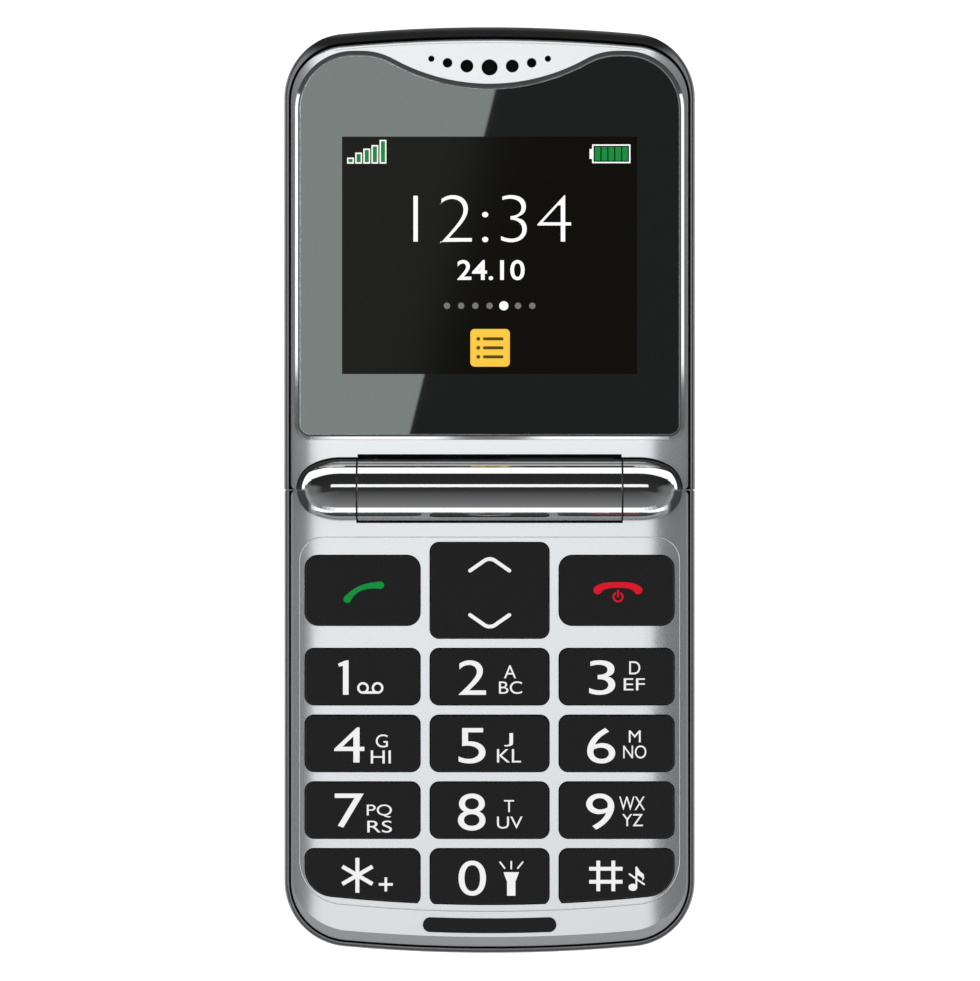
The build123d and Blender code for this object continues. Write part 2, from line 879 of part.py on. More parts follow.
def antenna():
    """Antenna carrier with its raised strip."""
    place = Pos(-motor_place[0], -motor_place[1])
    top = case_low + antenna_height
    outline = RectangleRounded(antenna_width, antenna_length, antenna_round)
    body = slab(place * outline, case_low, top - antenna_strip)
    outer_gap = 2 * antenna_rim
    inner_gap = 2 * (antenna_rim + antenna_strip)
    strip = RectangleRounded(antenna_width - outer_gap, antenna_length - outer_gap, antenna_rim)
    strip -= Rectangle(antenna_width - inner_gap, antenna_length - inner_gap)
    return body + slab(place * strip, top - antenna_strip, top)


def cross_head(place, radius, face, away):
    """Cross recess in a screw head, into the face that looks away along Z."""
    arm = radius * cross_arm_share
    bar = radius * cross_bar_share
    depth = screw_head_height / 2
    low, high = (face - overrun, face + depth) if away < 0 else (face - depth, face + overrun)
    cross = block((-arm, arm), (-bar, bar), (low, high)) + block((-bar, bar), (-arm, arm), (low, high))
    return Pos(place[0], place[1]) * cross


def base_screws():
    """Four screws that come up through the back."""
    screws = []
    for place, face in base_screw_places():
        head_low = face + screw_sink
        seat = head_low + screw_head_height
        screw = post(place, screw_head_radius, head_low, seat)
        screw += post(place, screw_radius, seat, wall_low - fit)
        screws.append(screw - cross_head(place, screw_head_radius, head_low, -1))
    return Compound(children=screws)


# Hinge

def hinge_barrel():
    """Chromed centre barrel on the lid, with a tongue clamped between the lid's cases."""
    body = axle(barrel_radius, -barrel_half, barrel_half)
    body = chamfer(body.edges().filter_by(GeomType.CIRCLE), barrel_chamfer)
    body += tongue(0)
    cartridge_end = barrel_half - cartridge_length
    body -= axle(cartridge_radius + fit, cartridge_end, barrel_half + overrun)
    flex_room = cartridge_radius + fit * 2
    body -= axle(flex_room, -barrel_half + barrel_end_wall, cartridge_end + overrun)
    body -= axle(bush_radius + fit, -barrel_half - overrun, 0)
    return body - flex_mouth(fit)


def tongue(grow):
    """Space of the barrel's tongue, grown for its seat in the lid."""
    return block((tongue_start - grow, tongue_end + grow), (cartridge_radius / 2, tongue_reach + grow),
                 (shell_joint - tongue_thickness / 2 - grow, shell_joint + tongue_thickness / 2 + grow))


def flex_middle():
    """X of the middle of the coiled ribbon."""
    return -flex_start + flex_width / 2


def flex_radius():
    """Radius of the ribbon's outer half turn."""
    return cartridge_radius - flex_thickness


def flex_mouth(grow):
    """Slot through the barrel's and the trough's wall for the ribbon."""
    side = flex_width / 2 + key_clearance
    level = hinge_height - flex_radius()
    half = flex_thickness / 2 + key_clearance + grow
    return block((flex_middle() - side, flex_middle() + side), (0, trough_radius + overrun),
                 (level - half, level + half))


def hinge_flex():
    """Flat ribbon, coiled in the barrel and led down to the lid's board."""
    step = flex_turn_pitch / 2
    ends = []
    for half_turn in range(flex_half_turns):
        radius = flex_radius() - (flex_half_turns - 1 - half_turn) * step
        last = (flex_half_turns - 1 - half_turn) % 2 == 0
        middle = 0 if last else step
        ends.append((radius, middle, 90 if last else -90))
    landing = lid_board_low + lid_board_thickness + flex_thickness / 2 - hinge_height
    bend = tab_start - flex_bend
    with BuildSketch() as profile:
        with BuildLine():
            for radius, middle, turn in ends:
                CenterArc((0, middle), radius, turn, 180)
            FilletPolyline((0, -flex_radius()), (bend - 2 * flex_bend, -flex_radius()), (bend, landing),
                           (display_start - fit, landing), radius=flex_bend)
        trace(line_width=flex_thickness)
    low = flex_middle() - flex_width / 2
    ribbon = extrude(Plane.YZ * profile.sketch, amount=flex_width)
    return Pos(low, 0, hinge_height) * ribbon


def hinge_cartridge():
    """Closed can of the spring hinge, bored for its cam shaft."""
    body = axle(cartridge_radius, barrel_half - cartridge_length, barrel_half)
    body = chamfer(body.edges().filter_by(GeomType.CIRCLE), barrel_chamfer)
    return body - axle(shaft_radius + fit, barrel_half - shaft_run, barrel_half + overrun)


def shaft_nose(grow):
    """The flatted end of the cam shaft, grown for its socket in the right cap."""
    near = barrel_half + knuckle_gap
    nose = axle(shaft_radius + grow, near, near + shaft_grip + grow)
    flats = block((near, near + shaft_grip + grow), (-shaft_radius - grow, shaft_radius + grow),
                  (hinge_height - shaft_flat - grow, hinge_height + shaft_flat + grow))
    return nose & flats


def hinge_cam_shaft():
    """Shaft that the cartridge turns on, held by its flats in the right cap."""
    near = barrel_half + knuckle_gap
    return axle(shaft_radius, barrel_half - shaft_run + fit, near) + shaft_nose(0)


def hinge_bush():
    """Hollow bush in the left cap that the barrel turns on, open for the ribbon."""
    left = -barrel_half - knuckle_gap - bush_grip
    right = -barrel_half + barrel_end_wall
    return axle(bush_radius, left, right) - axle(bush_radius - bush_wall, left - overrun, right + overrun)


def cap_foot(side, grow):
    """Foot that keys a cap into the base's trough."""
    near = barrel_half + knuckle_gap
    ends = sorted((side * (near - grow), side * (near + cap_foot_width + grow)))
    return block(ends, (-cap_foot_span[1] - grow, -cap_foot_span[0] + grow),
                 (hinge_height - barrel_radius - cap_foot_low - grow, hinge_height - shaft_radius))


def hinge_cap(side):
    """Chromed domed end of the barrel, fixed to the base."""
    near = barrel_half + knuckle_gap
    reach = hinge_height + barrel_radius
    ends = sorted((side * near, side * half_width))
    body = hinge_form(0) & block(ends, (-barrel_radius, barrel_radius), (0, reach))
    body += cap_foot(side, 0)
    if side > 0:
        return body - shaft_nose(fit)
    return body - axle(bush_radius + fit, -near - bush_grip - bush_room, -near + fit)


# Lid

def lens_plan(grow):
    """Plan of the lens, whose top edge dips under the earpiece, grown by an amount."""
    side = lens_side + grow
    end = lens_end + grow
    start = lens_start - grow
    corner = lens_corner + grow
    low_corner = lens_low_corner + grow
    shoulder = lens_shoulder + grow
    shoulder_x = lens_side - lens_corner - lens_crest_flat
    shoulder_y = lens_end - lens_shoulder
    rise = lens_dip - shoulder_y
    true_dip_radius = (shoulder_x ** 2 + rise ** 2 - lens_shoulder ** 2) / (2 * (lens_shoulder - rise))
    dip_radius = true_dip_radius - grow
    dip_y = lens_dip + true_dip_radius
    lean = atan2(dip_y - shoulder_y, shoulder_x)
    meet_x = shoulder_x - shoulder * cos(lean)
    meet_y = shoulder_y + shoulder * sin(lean)
    half_lean = (lean + atan2(1, 0)) / 2
    crest_x = shoulder_x - shoulder * cos(half_lean)
    crest_y = shoulder_y + shoulder * sin(half_lean)
    corner_x = side - corner
    corner_y = end - corner
    slant = sqrt(0.5)
    with BuildSketch() as plan:
        with BuildLine():
            Line((0, start), (side - low_corner, start))
            ThreePointArc((side - low_corner, start),
                          (side - low_corner + low_corner * slant, start + low_corner - low_corner * slant),
                          (side, start + low_corner))
            Line((side, start + low_corner), (side, corner_y))
            ThreePointArc((side, corner_y), (corner_x + corner * slant, corner_y + corner * slant),
                          (corner_x, end))
            Line((corner_x, end), (shoulder_x, end))
            ThreePointArc((shoulder_x, end), (crest_x, crest_y), (meet_x, meet_y))
            ThreePointArc((meet_x, meet_y),
                          (dip_radius * sin(asin(meet_x / dip_radius) / 2),
                           dip_y - dip_radius * cos(asin(meet_x / dip_radius) / 2)),
                          (0, dip_y - dip_radius))
            Line((0, dip_y - dip_radius), (0, start))
        make_face()
    return plan.sketch + mirror(plan.sketch, Plane.YZ)


def lid_screw_places():
    """The lid's four screws."""
    return corners_of((lid_low_screw, lid_high_screw), 1)


def lid_screw_seat():
    """Height that the lid's screw heads sit at, just under the lens."""
    return lens_low - screw_head_height - fit


def earpiece_plan(grow):
    """Plan of the earpiece capsule against the lid's end wall."""
    middle = lid_case_end - wall - battery_play - earpiece_length / 2
    width = earpiece_width + 2 * grow
    return Pos(0, middle) * RectangleRounded(width, earpiece_length + 2 * grow, earpiece_corner)


def mesh_plan(grow):
    """Plan of the mesh behind the earpiece holes."""
    return Pos(0, earpiece_place) * SlotOverall(mesh_length + 2 * grow, mesh_width + 2 * grow)


def saddle(low, high):
    """Block that clamps the barrel's tongue, between two heights."""
    return block((tongue_start - saddle_wall, tongue_end + saddle_wall),
                 (trough_radius - fit, tongue_reach + saddle_wall), (low, high))


def lid_front_case():
    """Silver front case of the lid, with the lens well, earpiece holes and the barrel's trough."""
    outline = lid_case_plan(0, face_edge)
    near = outline.vertices().sort_by(Axis.Y)[:2]
    body = slab(fillet(near, front_corner), shell_joint, lid_face)
    body = fillet(lower_edges(body, lid_face), lid_case_round)
    body = body & Rot(0, 0, 180) * under_front(lid_face)
    body -= slab(lid_case_plan(wall, face_edge + end_wall), shell_joint - overrun, floor_low)
    body += saddle(shell_joint, floor_low + fit)
    for place in lid_screw_places():
        body += post(place, screw_boss, shell_joint, floor_low + fit)
    body -= slab(earpiece_plan(battery_play), shell_joint, mesh_low)
    body -= slab(mesh_plan(fit), shell_joint, mesh_top)
    for (place_x, rise), radius in zip(hole_spots, hole_radii):
        for side in (-1, 1):
            body -= post((side * place_x, lens_dip + rise), radius, mesh_low, lid_face + overrun)
    body -= slab(lens_plan(trim_width + fit), lens_low, lid_face + overrun)
    side = screen_width / 2 + window_margin
    body -= block((-side, side), (screen_start - window_margin, screen_end + window_margin),
                  (shell_joint, lid_face))
    for place in lid_screw_places():
        body -= post(place, screw_head_radius + fit, lid_screw_seat(), lid_face)
        body -= post(place, screw_radius + fit, shell_joint - overrun, lid_face)
    body += trough(1)
    body -= axle(barrel_radius + barrel_groove, -barrel_half, barrel_half)
    return body - hinge_form(cap_groove) - tongue(fit) - flex_mouth(fit)


def lid_side_band():
    """Dark metal rim of the lid, broad and rounded over at the top end."""
    outer = slab(lid_plan(0, face_edge), seam_height, lid_top)
    outer = fillet(lower_edges(outer, lid_top), rim_round)
    hole = lid_case_plan(-rim_groove, face_edge - overrun)
    ring = outer - slab(hole, seam_height - overrun, lid_top + overrun)
    with BuildSketch(Plane.XZ) as profile:
        with BuildLine():
            Polyline((end_crown - lip_round, lid_top), (0, lid_top), (0, 0), (end_crown, 0),
                     (end_crown, lid_top - lip_round))
            CenterArc((end_crown - lip_round, lid_top - lip_round), lip_round, 0, 90)
        make_face()
    dish = Pos(0, half_length - end_crown) * revolve(profile.sketch, Axis.Z)
    return ring & dish


def torch_hole(grow):
    """Space of the torch's lens through the lid's end, grown for its hole."""
    near = lid_case_end - wall - torch_inset
    return lengthways(-torch_place, torch_height, torch_radius + grow, near, half_length + overrun)


def lid_rear_case():
    """Dark rear case of the lid with bosses, board pillars and a magnet pocket."""
    body = back_tray(lid_plan(0, face_edge))
    body += slab(lid_case_plan(fit - rim_groove, face_edge), seam_height, shell_joint)
    body -= slab(lid_case_plan(wall, face_edge + end_wall), lid_back, shell_joint + overrun)
    body += saddle(lid_back - fit, shell_joint)
    for place in lid_screw_places():
        body += post(place, screw_boss, lid_back - fit, shell_joint)
    for place in corners_of([(pillar_column, row) for row in pillar_rows], 1):
        body += post(place, pillar_radius, lid_back - fit, lid_board_low)
    seat = lid_board_low
    body += post(magnet_place, magnet_radius + magnet_wall, lid_back - fit, seat + magnet_height / 2)
    body -= post(magnet_place, magnet_radius + fit, seat, shell_joint)
    for place in lid_screw_places():
        body -= post(place, screw_radius + fit, lid_screw_end - screw_tip_room, shell_joint + overrun)
    body -= axle(trough_radius + fit, -half_width - overrun, half_width + overrun)
    return body - tongue(fit) - torch_hole(fit)


def lens_trim():
    """Chromed ring round the lens, sloped on the outside and eased inside."""
    body = slab(lens_plan(trim_width) - lens_plan(fit), lens_low, lid_top)
    top = body.faces().sort_by(Axis.Z)[-1]
    body = chamfer(top.outer_wire().edges(), trim_slope, trim_slope_drop, reference=top)
    inside = body.faces().sort_by(Axis.Z)[-1].inner_wires()[0]
    return chamfer(inside.edges(), trim_chamfer)


def display_lens():
    """Flat lens over the display and its black border."""
    return slab(lens_plan(0), lens_low, lens_top)


def lcd_module():
    """Display module: a frame with the picture area a little sunk in it."""
    body = block((-display_width / 2, display_width / 2), (display_start, display_end),
                 (display_low, floor_low))
    return body - block((-screen_width / 2, screen_width / 2), (screen_start, screen_end),
                        (floor_low - display_recess, floor_low + overrun))


def lid_board():
    """Lid circuit board with a tab for the ribbon."""
    low, high = lid_board_low, lid_board_low + lid_board_thickness
    side = flex_width / 2 + flex_margin
    body = block((-display_width / 2, display_width / 2), (display_start, display_end), (low, high))
    tab = (flex_middle() - side, flex_middle() + side)
    return body + block(tab, (tab_start, display_start + fit), (low, high))


def earpiece_speaker():
    """Earpiece capsule."""
    body = slab(earpiece_plan(0), mesh_low - earpiece_height, mesh_low)
    return chamfer(body.faces().sort_by(Axis.Z)[0].edges(), capsule_bevel)


def earpiece_mesh():
    """Fine mesh behind the earpiece holes."""
    return slab(mesh_plan(0), mesh_low, mesh_top)


def lid_magnet():
    """Disc magnet for the switch that senses the closed lid."""
    return post(magnet_place, magnet_radius, lid_board_low, lid_board_low + magnet_height)


def torch_lens():
    """Clear light guide of the torch, cut flush with the lid's end."""
    return torch_hole(0) & back_tray(lid_plan(0, face_edge))


def torch_led():
    """Lamp behind the torch's light guide."""
    near = lid_case_end - wall - torch_inset
    across = (-torch_place - torch_lamp / 2, -torch_place + torch_lamp / 2)
    return block(across, (near - torch_lamp_depth, near), (lid_back, torch_height + torch_radius))


def lid_screws():
    """Four screws under the lens."""
    screws = []
    seat = lid_screw_seat()
    for place in lid_screw_places():
        screw = post(place, screw_head_radius, seat, seat + screw_head_height)
        screw += post(place, screw_radius, lid_screw_end, seat)
        screws.append(screw - cross_head(place, screw_head_radius, seat + screw_head_height, 1))
    return Compound(children=screws)


pieces = {
    "base_rear_case": base_rear_case,
    "base_side_band": base_side_band,
    "base_front_case": base_front_case,
    "keypad_plate": keypad_plate,
    "chin_bumper": chin_bumper,
    "battery_cover": battery_cover,
    "battery": battery,
    "battery_contacts": battery_contacts,
    "main_board": main_board,
    "dome_sheet": dome_sheet,
    "keypad_membrane": keypad_membrane,
    "sim_holder": sim_holder,
    "usb_port": usb_port,
    "microphone": microphone,
    "loudspeaker": loudspeaker,
    "vibration_motor": vibration_motor,
    "antenna": antenna,
    "base_screws": base_screws,
    "nav_key": nav_key,
    "hinge_barrel": hinge_barrel,
    "hinge_cartridge": hinge_cartridge,
    "hinge_cam_shaft": hinge_cam_shaft,
    "hinge_bush": hinge_bush,
    "hinge_flex": hinge_flex,
    "lid_rear_case": lid_rear_case,
    "lid_side_band": lid_side_band,
    "lid_front_case": lid_front_case,
    "lens_trim": lens_trim,
    "display_lens": display_lens,
    "lcd_module": lcd_module,
    "lid_board": lid_board,
    "earpiece_speaker": earpiece_speaker,
    "earpiece_mesh": earpiece_mesh,
    "lid_magnet": lid_magnet,
    "torch_lens": torch_lens,
    "torch_led": torch_led,
    "lid_screws": lid_screws,
}

os.makedirs("parts", exist_ok=True)
solids = {name: make() for name, make in pieces.items()}
solids["hinge_cap_left"] = hinge_cap(-1)
solids["hinge_cap_right"] = hinge_cap(1)
for name, values in key_table().items():
    solids[name] = pressed_key(*values)
for name, solid in solids.items():
    export_step(solid, f"parts/{name}.step")
print("hinge height", hinge_height, "key top", key_top, "lid face", lid_face)
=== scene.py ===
import math

import bmesh
import bpy
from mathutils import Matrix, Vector


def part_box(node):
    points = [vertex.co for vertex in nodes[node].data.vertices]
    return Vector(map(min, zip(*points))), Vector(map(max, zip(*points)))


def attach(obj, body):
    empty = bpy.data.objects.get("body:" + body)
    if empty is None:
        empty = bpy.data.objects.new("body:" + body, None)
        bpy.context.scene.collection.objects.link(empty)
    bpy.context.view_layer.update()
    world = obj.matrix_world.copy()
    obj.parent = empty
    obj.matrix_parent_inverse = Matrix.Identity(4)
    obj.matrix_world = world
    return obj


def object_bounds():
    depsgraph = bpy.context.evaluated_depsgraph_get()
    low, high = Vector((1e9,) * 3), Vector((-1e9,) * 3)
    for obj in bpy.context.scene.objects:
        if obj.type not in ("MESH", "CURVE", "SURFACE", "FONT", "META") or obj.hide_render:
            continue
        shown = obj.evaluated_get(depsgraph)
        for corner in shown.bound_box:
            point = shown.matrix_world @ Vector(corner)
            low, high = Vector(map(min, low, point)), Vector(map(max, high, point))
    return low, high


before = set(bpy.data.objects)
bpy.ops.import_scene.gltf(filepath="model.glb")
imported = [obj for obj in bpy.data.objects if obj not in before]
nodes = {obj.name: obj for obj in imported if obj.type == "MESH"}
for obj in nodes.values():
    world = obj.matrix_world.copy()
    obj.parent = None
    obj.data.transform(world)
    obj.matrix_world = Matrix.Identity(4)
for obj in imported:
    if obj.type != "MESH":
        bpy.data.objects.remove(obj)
cad_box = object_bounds()

# The photograph looks straight down on the open phone: one pixel in metres, and the hinge's middle and the
# picture's size in pixels
PIXEL = 0.000134
MIDDLE_X = 489.6
MIDDLE_Y = 490.0
IMAGE_WIDTH = 980
IMAGE_HEIGHT = 981

# Printed ink: how far it stands out of the face that carries it, how far it sinks into it, and the small
# step in height between the strokes of one sign
INK = 0.000012
SINK = 0.000008
STEP = 0.0000008

# Heights of the two faces that carry print
KEY_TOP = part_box("key_5")[1].z
LENS_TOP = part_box("display_lens")[1].z


def place(x, y):
    """Point on the object under a pixel of the photograph, in metres."""
    return (x - MIDDLE_X) * PIXEL, (MIDDLE_Y - y) * PIXEL


# Steps of node trees

def sum_node(tree, operation, first, second=None):
    """One step of arithmetic in a node tree, on sockets or numbers."""
    step = tree.nodes.new("ShaderNodeMath")
    step.operation = operation
    for index, value in enumerate((first, second)):
        if isinstance(value, (int, float)):
            step.inputs[index].default_value = value
        elif value is not None:
            tree.links.new(value, step.inputs[index])
    return step.outputs["Value"]


def soft_step(tree, value, low, high):
    """A smooth rise from 0 to 1 between two values."""
    rise = tree.nodes.new("ShaderNodeMapRange")
    rise.interpolation_type = "SMOOTHSTEP"
    rise.inputs["From Min"].default_value = low
    rise.inputs["From Max"].default_value = high
    tree.links.new(value, rise.inputs["Value"])
    return rise.outputs["Result"]


def split_axes(tree, vector):
    """The separate X, Y and Z of a vector socket."""
    axes = tree.nodes.new("ShaderNodeSeparateXYZ")
    tree.links.new(vector, axes.inputs["Vector"])
    return axes.outputs


def blend(tree, share, first, second):
    """A mix of two colours by a share."""
    mix = tree.nodes.new("ShaderNodeMix")
    mix.data_type = "RGBA"
    tree.links.new(share, mix.inputs["Factor"])
    tree.links.new(first, mix.inputs["A"])
    tree.links.new(second, mix.inputs["B"])
    return mix.outputs["Result"]


def ramp(tree, fall, stops):
    """Grey levels from pairs of degrees and brightness. The fall is the angle from straight up, as a share
    of half a turn."""
    levels = tree.nodes.new("ShaderNodeValToRGB")
    tree.links.new(fall, levels.inputs["Fac"])
    elements = levels.color_ramp.elements
    while len(elements) < len(stops):
        elements.new(0.5)
    for element, (angle, level) in zip(elements, stops):
        element.position = angle / 180
        element.color = (level, level, level, 1.0)
    return levels.outputs["Color"]


# Materials

def linear(level):
    """A screen colour value from 0 to 255 as linear light."""
    share = level / 255
    return share / 12.92 if share <= 0.04045 else ((share + 0.055) / 1.055) ** 2.4


def colour(red, green, blue):
    """A screen colour as a linear colour with full alpha."""
    return linear(red), linear(green), linear(blue), 1.0


# Levels of detail in the grain, the index of refraction of every surface, and the roughness of a clear coat
GRAIN_DETAIL = 3.0
PLASTIC_IOR = 1.5
COAT_ROUGHNESS = 0.05


def material(name, tint, roughness, metallic=0.0, specular=0.5, coat=0.0, grain=6000.0, variation=0.03,
             rough_variation=0.05, bump=0.02, bump_depth=0.00001, emission=0.0):
    """A surface whose colour, roughness and relief vary finely, with the grain in features per metre."""
    made = bpy.data.materials.new(name)
    made.use_nodes = True
    tree = made.node_tree
    shader = tree.nodes["Principled BSDF"]
    shader.inputs["Metallic"].default_value = metallic
    shader.inputs["IOR"].default_value = PLASTIC_IOR
    shader.inputs["Specular IOR Level"].default_value = specular
    shader.inputs["Coat Weight"].default_value = coat
    shader.inputs["Coat Roughness"].default_value = COAT_ROUGHNESS
    shader.inputs["Emission Color"].default_value = tint
    shader.inputs["Emission Strength"].default_value = emission

    where = tree.nodes.new("ShaderNodeTexCoord")
    noise = tree.nodes.new("ShaderNodeTexNoise")
    noise.inputs["Scale"].default_value = grain
    noise.inputs["Detail"].default_value = GRAIN_DETAIL
    tree.links.new(where.outputs["Object"], noise.inputs["Vector"])

    darker = [value * (1 - variation) for value in tint[:3]]
    lighter = [min(1.0, value * (1 + variation)) for value in tint[:3]]
    shades = tree.nodes.new("ShaderNodeMix")
    shades.data_type = "RGBA"
    shades.inputs["A"].default_value = (*darker, 1.0)
    shades.inputs["B"].default_value = (*lighter, 1.0)
    tree.links.new(noise.outputs["Fac"], shades.inputs["Factor"])
    tree.links.new(shades.outputs["Result"], shader.inputs["Base Color"])

    polish = tree.nodes.new("ShaderNodeMapRange")
    polish.inputs["To Min"].default_value = max(0.0, roughness - rough_variation)
    polish.inputs["To Max"].default_value = min(1.0, roughness + rough_variation)
    tree.links.new(noise.outputs["Fac"], polish.inputs["Value"])
    tree.links.new(polish.outputs["Result"], shader.inputs["Roughness"])

    relief = tree.nodes.new("ShaderNodeBump")
    relief.inputs["Strength"].default_value = bump
    relief.inputs["Distance"].default_value = bump_depth
    tree.links.new(noise.outputs["Fac"], relief.inputs["Height"])
    tree.links.new(relief.outputs["Normal"], shader.inputs["Normal"])
    return made


SILVER = colour(226, 229, 231)
CHROME = colour(235, 236, 238)
GUNMETAL = colour(122, 122, 126)
BLACK = colour(32, 33, 32)
PAPER_WHITE = colour(250, 250, 250)

# Finishes that more than one material has
SATIN_PAINT = {"roughness": 0.20, "metallic": 0.82, "variation": 0.02, "grain": 5000.0,
               "rough_variation": 0.03, "bump": 0.03}
PLATING = {"roughness": 0.05, "metallic": 1.0, "variation": 0.01, "rough_variation": 0.02, "bump": 0.0}
LACQUER = {"roughness": 0.24, "metallic": 0.85, "grain": 7000.0, "bump": 0.03}
KEY_INK = {"roughness": 0.5, "specular": 0.2, "grain": 9000.0, "bump": 0.1}
LIT_PIXEL = {"roughness": 0.5, "specular": 0.1, "bump": 0.0}

silver_paint = material("silver_paint", SILVER, **SATIN_PAINT)
case_silver = material("case_silver", SILVER, **SATIN_PAINT)
chrome = material("chrome", CHROME, **PLATING)
hinge_chrome = material("hinge_chrome", CHROME, specular=0.0, **PLATING)
gunmetal = material("gunmetal_lacquer", GUNMETAL, **LACQUER)
lid_rim = material("lid_rim_lacquer", GUNMETAL, specular=0.08, **LACQUER)
key_black = material("key_black", BLACK, roughness=0.28, specular=0.35, grain=4000.0, variation=0.05,
                     bump=0.03)
bumper_black = material("bumper_rubber", BLACK, roughness=0.6, specular=0.3, grain=9000.0, bump=0.2)
back_black = material("back_plastic", colour(52, 53, 55), roughness=0.55, grain=7000.0, variation=0.08,
                      bump=0.5, bump_depth=0.00002)
lens_black = material("lens_black", colour(25, 26, 26), roughness=0.012, grain=300.0, variation=0.02,
                      rough_variation=0.004, bump=0.0)
picture_dark = material("picture_dark", colour(17, 16, 13), roughness=0.06, specular=0.027, grain=12000.0,
                        rough_variation=0.01, bump=0.0)
ink_white = material("ink_white", PAPER_WHITE, **KEY_INK)
ink_green = material("ink_green", colour(0, 150, 62), **KEY_INK)
ink_red = material("ink_red", colour(226, 0, 36), **KEY_INK)
pixel_white = material("pixel_white", PAPER_WHITE, emission=0.15, **LIT_PIXEL)
pixel_green = material("pixel_green", colour(20, 140, 60), emission=0.1, **LIT_PIXEL)
pixel_amber = material("pixel_amber", colour(250, 200, 68), emission=0.1, **LIT_PIXEL)
pixel_grey = material("pixel_grey", colour(120, 120, 118), emission=0.05, **LIT_PIXEL)
pixel_brown = material("pixel_brown", colour(96, 74, 20), **LIT_PIXEL)
steel = material("plated_steel", colour(196, 196, 192), roughness=0.28, metallic=1.0, grain=9000.0,
                 bump=0.05)
board_green = material("circuit_board", colour(24, 92, 52), roughness=0.4, coat=0.3, grain=2500.0,
                       variation=0.15)
moulding = material("black_moulding", colour(34, 34, 35), roughness=0.5, bump=0.2)
battery_wrap = material("battery_wrap", colour(62, 64, 70), roughness=0.35, grain=3000.0, variation=0.06,
                        bump=0.1)
dome_film = material("dome_film", colour(206, 208, 200), roughness=0.3, grain=2000.0, variation=0.05)
silicone = material("silicone", colour(182, 186, 190), roughness=0.65, specular=0.3, grain=4000.0, bump=0.1)
flex_film = material("flex_film", colour(74, 48, 22), roughness=0.35, grain=3000.0, variation=0.1)
mesh_black = material("mesh_black", colour(24, 24, 24), roughness=0.8, specular=0.1, grain=16000.0,
                      variation=0.3, bump=0.8, bump_depth=0.00003)
lamp_white = material("lamp_white", colour(238, 232, 180), roughness=0.3, grain=3000.0)
torch_clear = material("torch_clear", colour(236, 240, 242), roughness=0.12, specular=0.6, grain=2000.0,
                       bump=0.05)


# Second finishes and painted light on the metals, by the way that a surface faces: a satin finish, and
# painted shade, painted highlights and painted dark reflections. A surface that faces up has a normal Z of
# 1, and an upright wall has 0.

# Metal flakes: how many fit in a metre, and how strongly they glint in paint and in lacquer
FLAKES_PER_METRE = 14000.0
PAINT_FLAKES = 0.05
LACQUER_FLAKES = 0.06

# Roughness and colours of the second finishes, of the painted shade and of the painted highlight
SHADE_ROUGHNESS = 0.6
SATIN_ROUGHNESS = 0.5
EDGE_ROUGHNESS = 0.3
TIP_SHADE_GREY = colour(62, 63, 64)
SATIN_GREY = colour(120, 120, 124)
EDGE_HIGHLIGHT_WHITE = colour(246, 247, 248)


def first_node(made, kind):
    """The first node of a kind in a material."""
    return next(node for node in made.node_tree.nodes if node.bl_idname == kind)


def own_axes(made, coordinate):
    """The separate X, Y and Z of a material's position or normal on its own object."""
    return split_axes(made.node_tree, first_node(made, "ShaderNodeTexCoord").outputs[coordinate])


def add_flakes(made, strength):
    """Fine metal flakes that glint in a paint."""
    tree = made.node_tree
    shades = first_node(made, "ShaderNodeMix")
    flakes = tree.nodes.new("ShaderNodeTexVoronoi")
    flakes.inputs["Scale"].default_value = FLAKES_PER_METRE
    tree.links.new(first_node(made, "ShaderNodeTexCoord").outputs["Object"], flakes.inputs["Vector"])
    glint = tree.nodes.new("ShaderNodeMix")
    glint.data_type = "RGBA"
    glint.blend_type = "OVERLAY"
    glint.inputs["Factor"].default_value = strength
    tree.links.new(shades.outputs["Result"], glint.inputs["A"])
    tree.links.new(flakes.outputs["Color"], glint.inputs["B"])
    tree.links.new(glint.outputs["Result"], tree.nodes["Principled BSDF"].inputs["Base Color"])


def finish_and_painted_light(made, share, tint, roughness):
    """Gives a metal a second, plain colour and finish where the share is 1. It carries a satin finish, and
    also painted shade, painted highlights and painted reflections.
    """
    tree = made.node_tree
    shader = tree.nodes["Principled BSDF"]
    first = shader.inputs["Base Color"].links[0].from_socket
    mix = tree.nodes.new("ShaderNodeMix")
    mix.data_type = "RGBA"
    tree.links.new(share, mix.inputs["Factor"])
    tree.links.new(first, mix.inputs["A"])
    mix.inputs["B"].default_value = tint
    tree.links.new(mix.outputs["Result"], shader.inputs["Base Color"])
    metal = shader.inputs["Metallic"].default_value
    left_metal = sum_node(tree, "MULTIPLY", sum_node(tree, "SUBTRACT", 1.0, share), metal)
    tree.links.new(left_metal, shader.inputs["Metallic"])
    polish = shader.inputs["Roughness"].links[0].from_socket
    rougher = sum_node(tree, "MAXIMUM", polish, sum_node(tree, "MULTIPLY", share, roughness))
    tree.links.new(rougher, shader.inputs["Roughness"])


def paint_steep_shade(made, steep, slant=0.0, side=None):
    """Paints black shade where a surface is steeper than a limit of its normal's Z, which rises by
    the slant towards the phone's sides: painted shadow on the steep walls of the silver cases, as in the
    hinge's troughs, and a painted dark reflection and shade on the hinge's chrome. Where a side is given,
    only what faces the lid's end by more than it is painted black."""
    tree = made.node_tree
    normal = own_axes(made, "Normal")
    slanted = sum_node(tree, "MULTIPLY", sum_node(tree, "ABSOLUTE", normal["X"]), slant)
    shaded = sum_node(tree, "LESS_THAN", normal["Z"], sum_node(tree, "ADD", slanted, steep))
    if side is not None:
        shaded = sum_node(tree, "MULTIPLY", shaded, sum_node(tree, "GREATER_THAN", normal["Y"], side))
    finish_and_painted_light(made, shaded, BLACK, SHADE_ROUGHNESS)


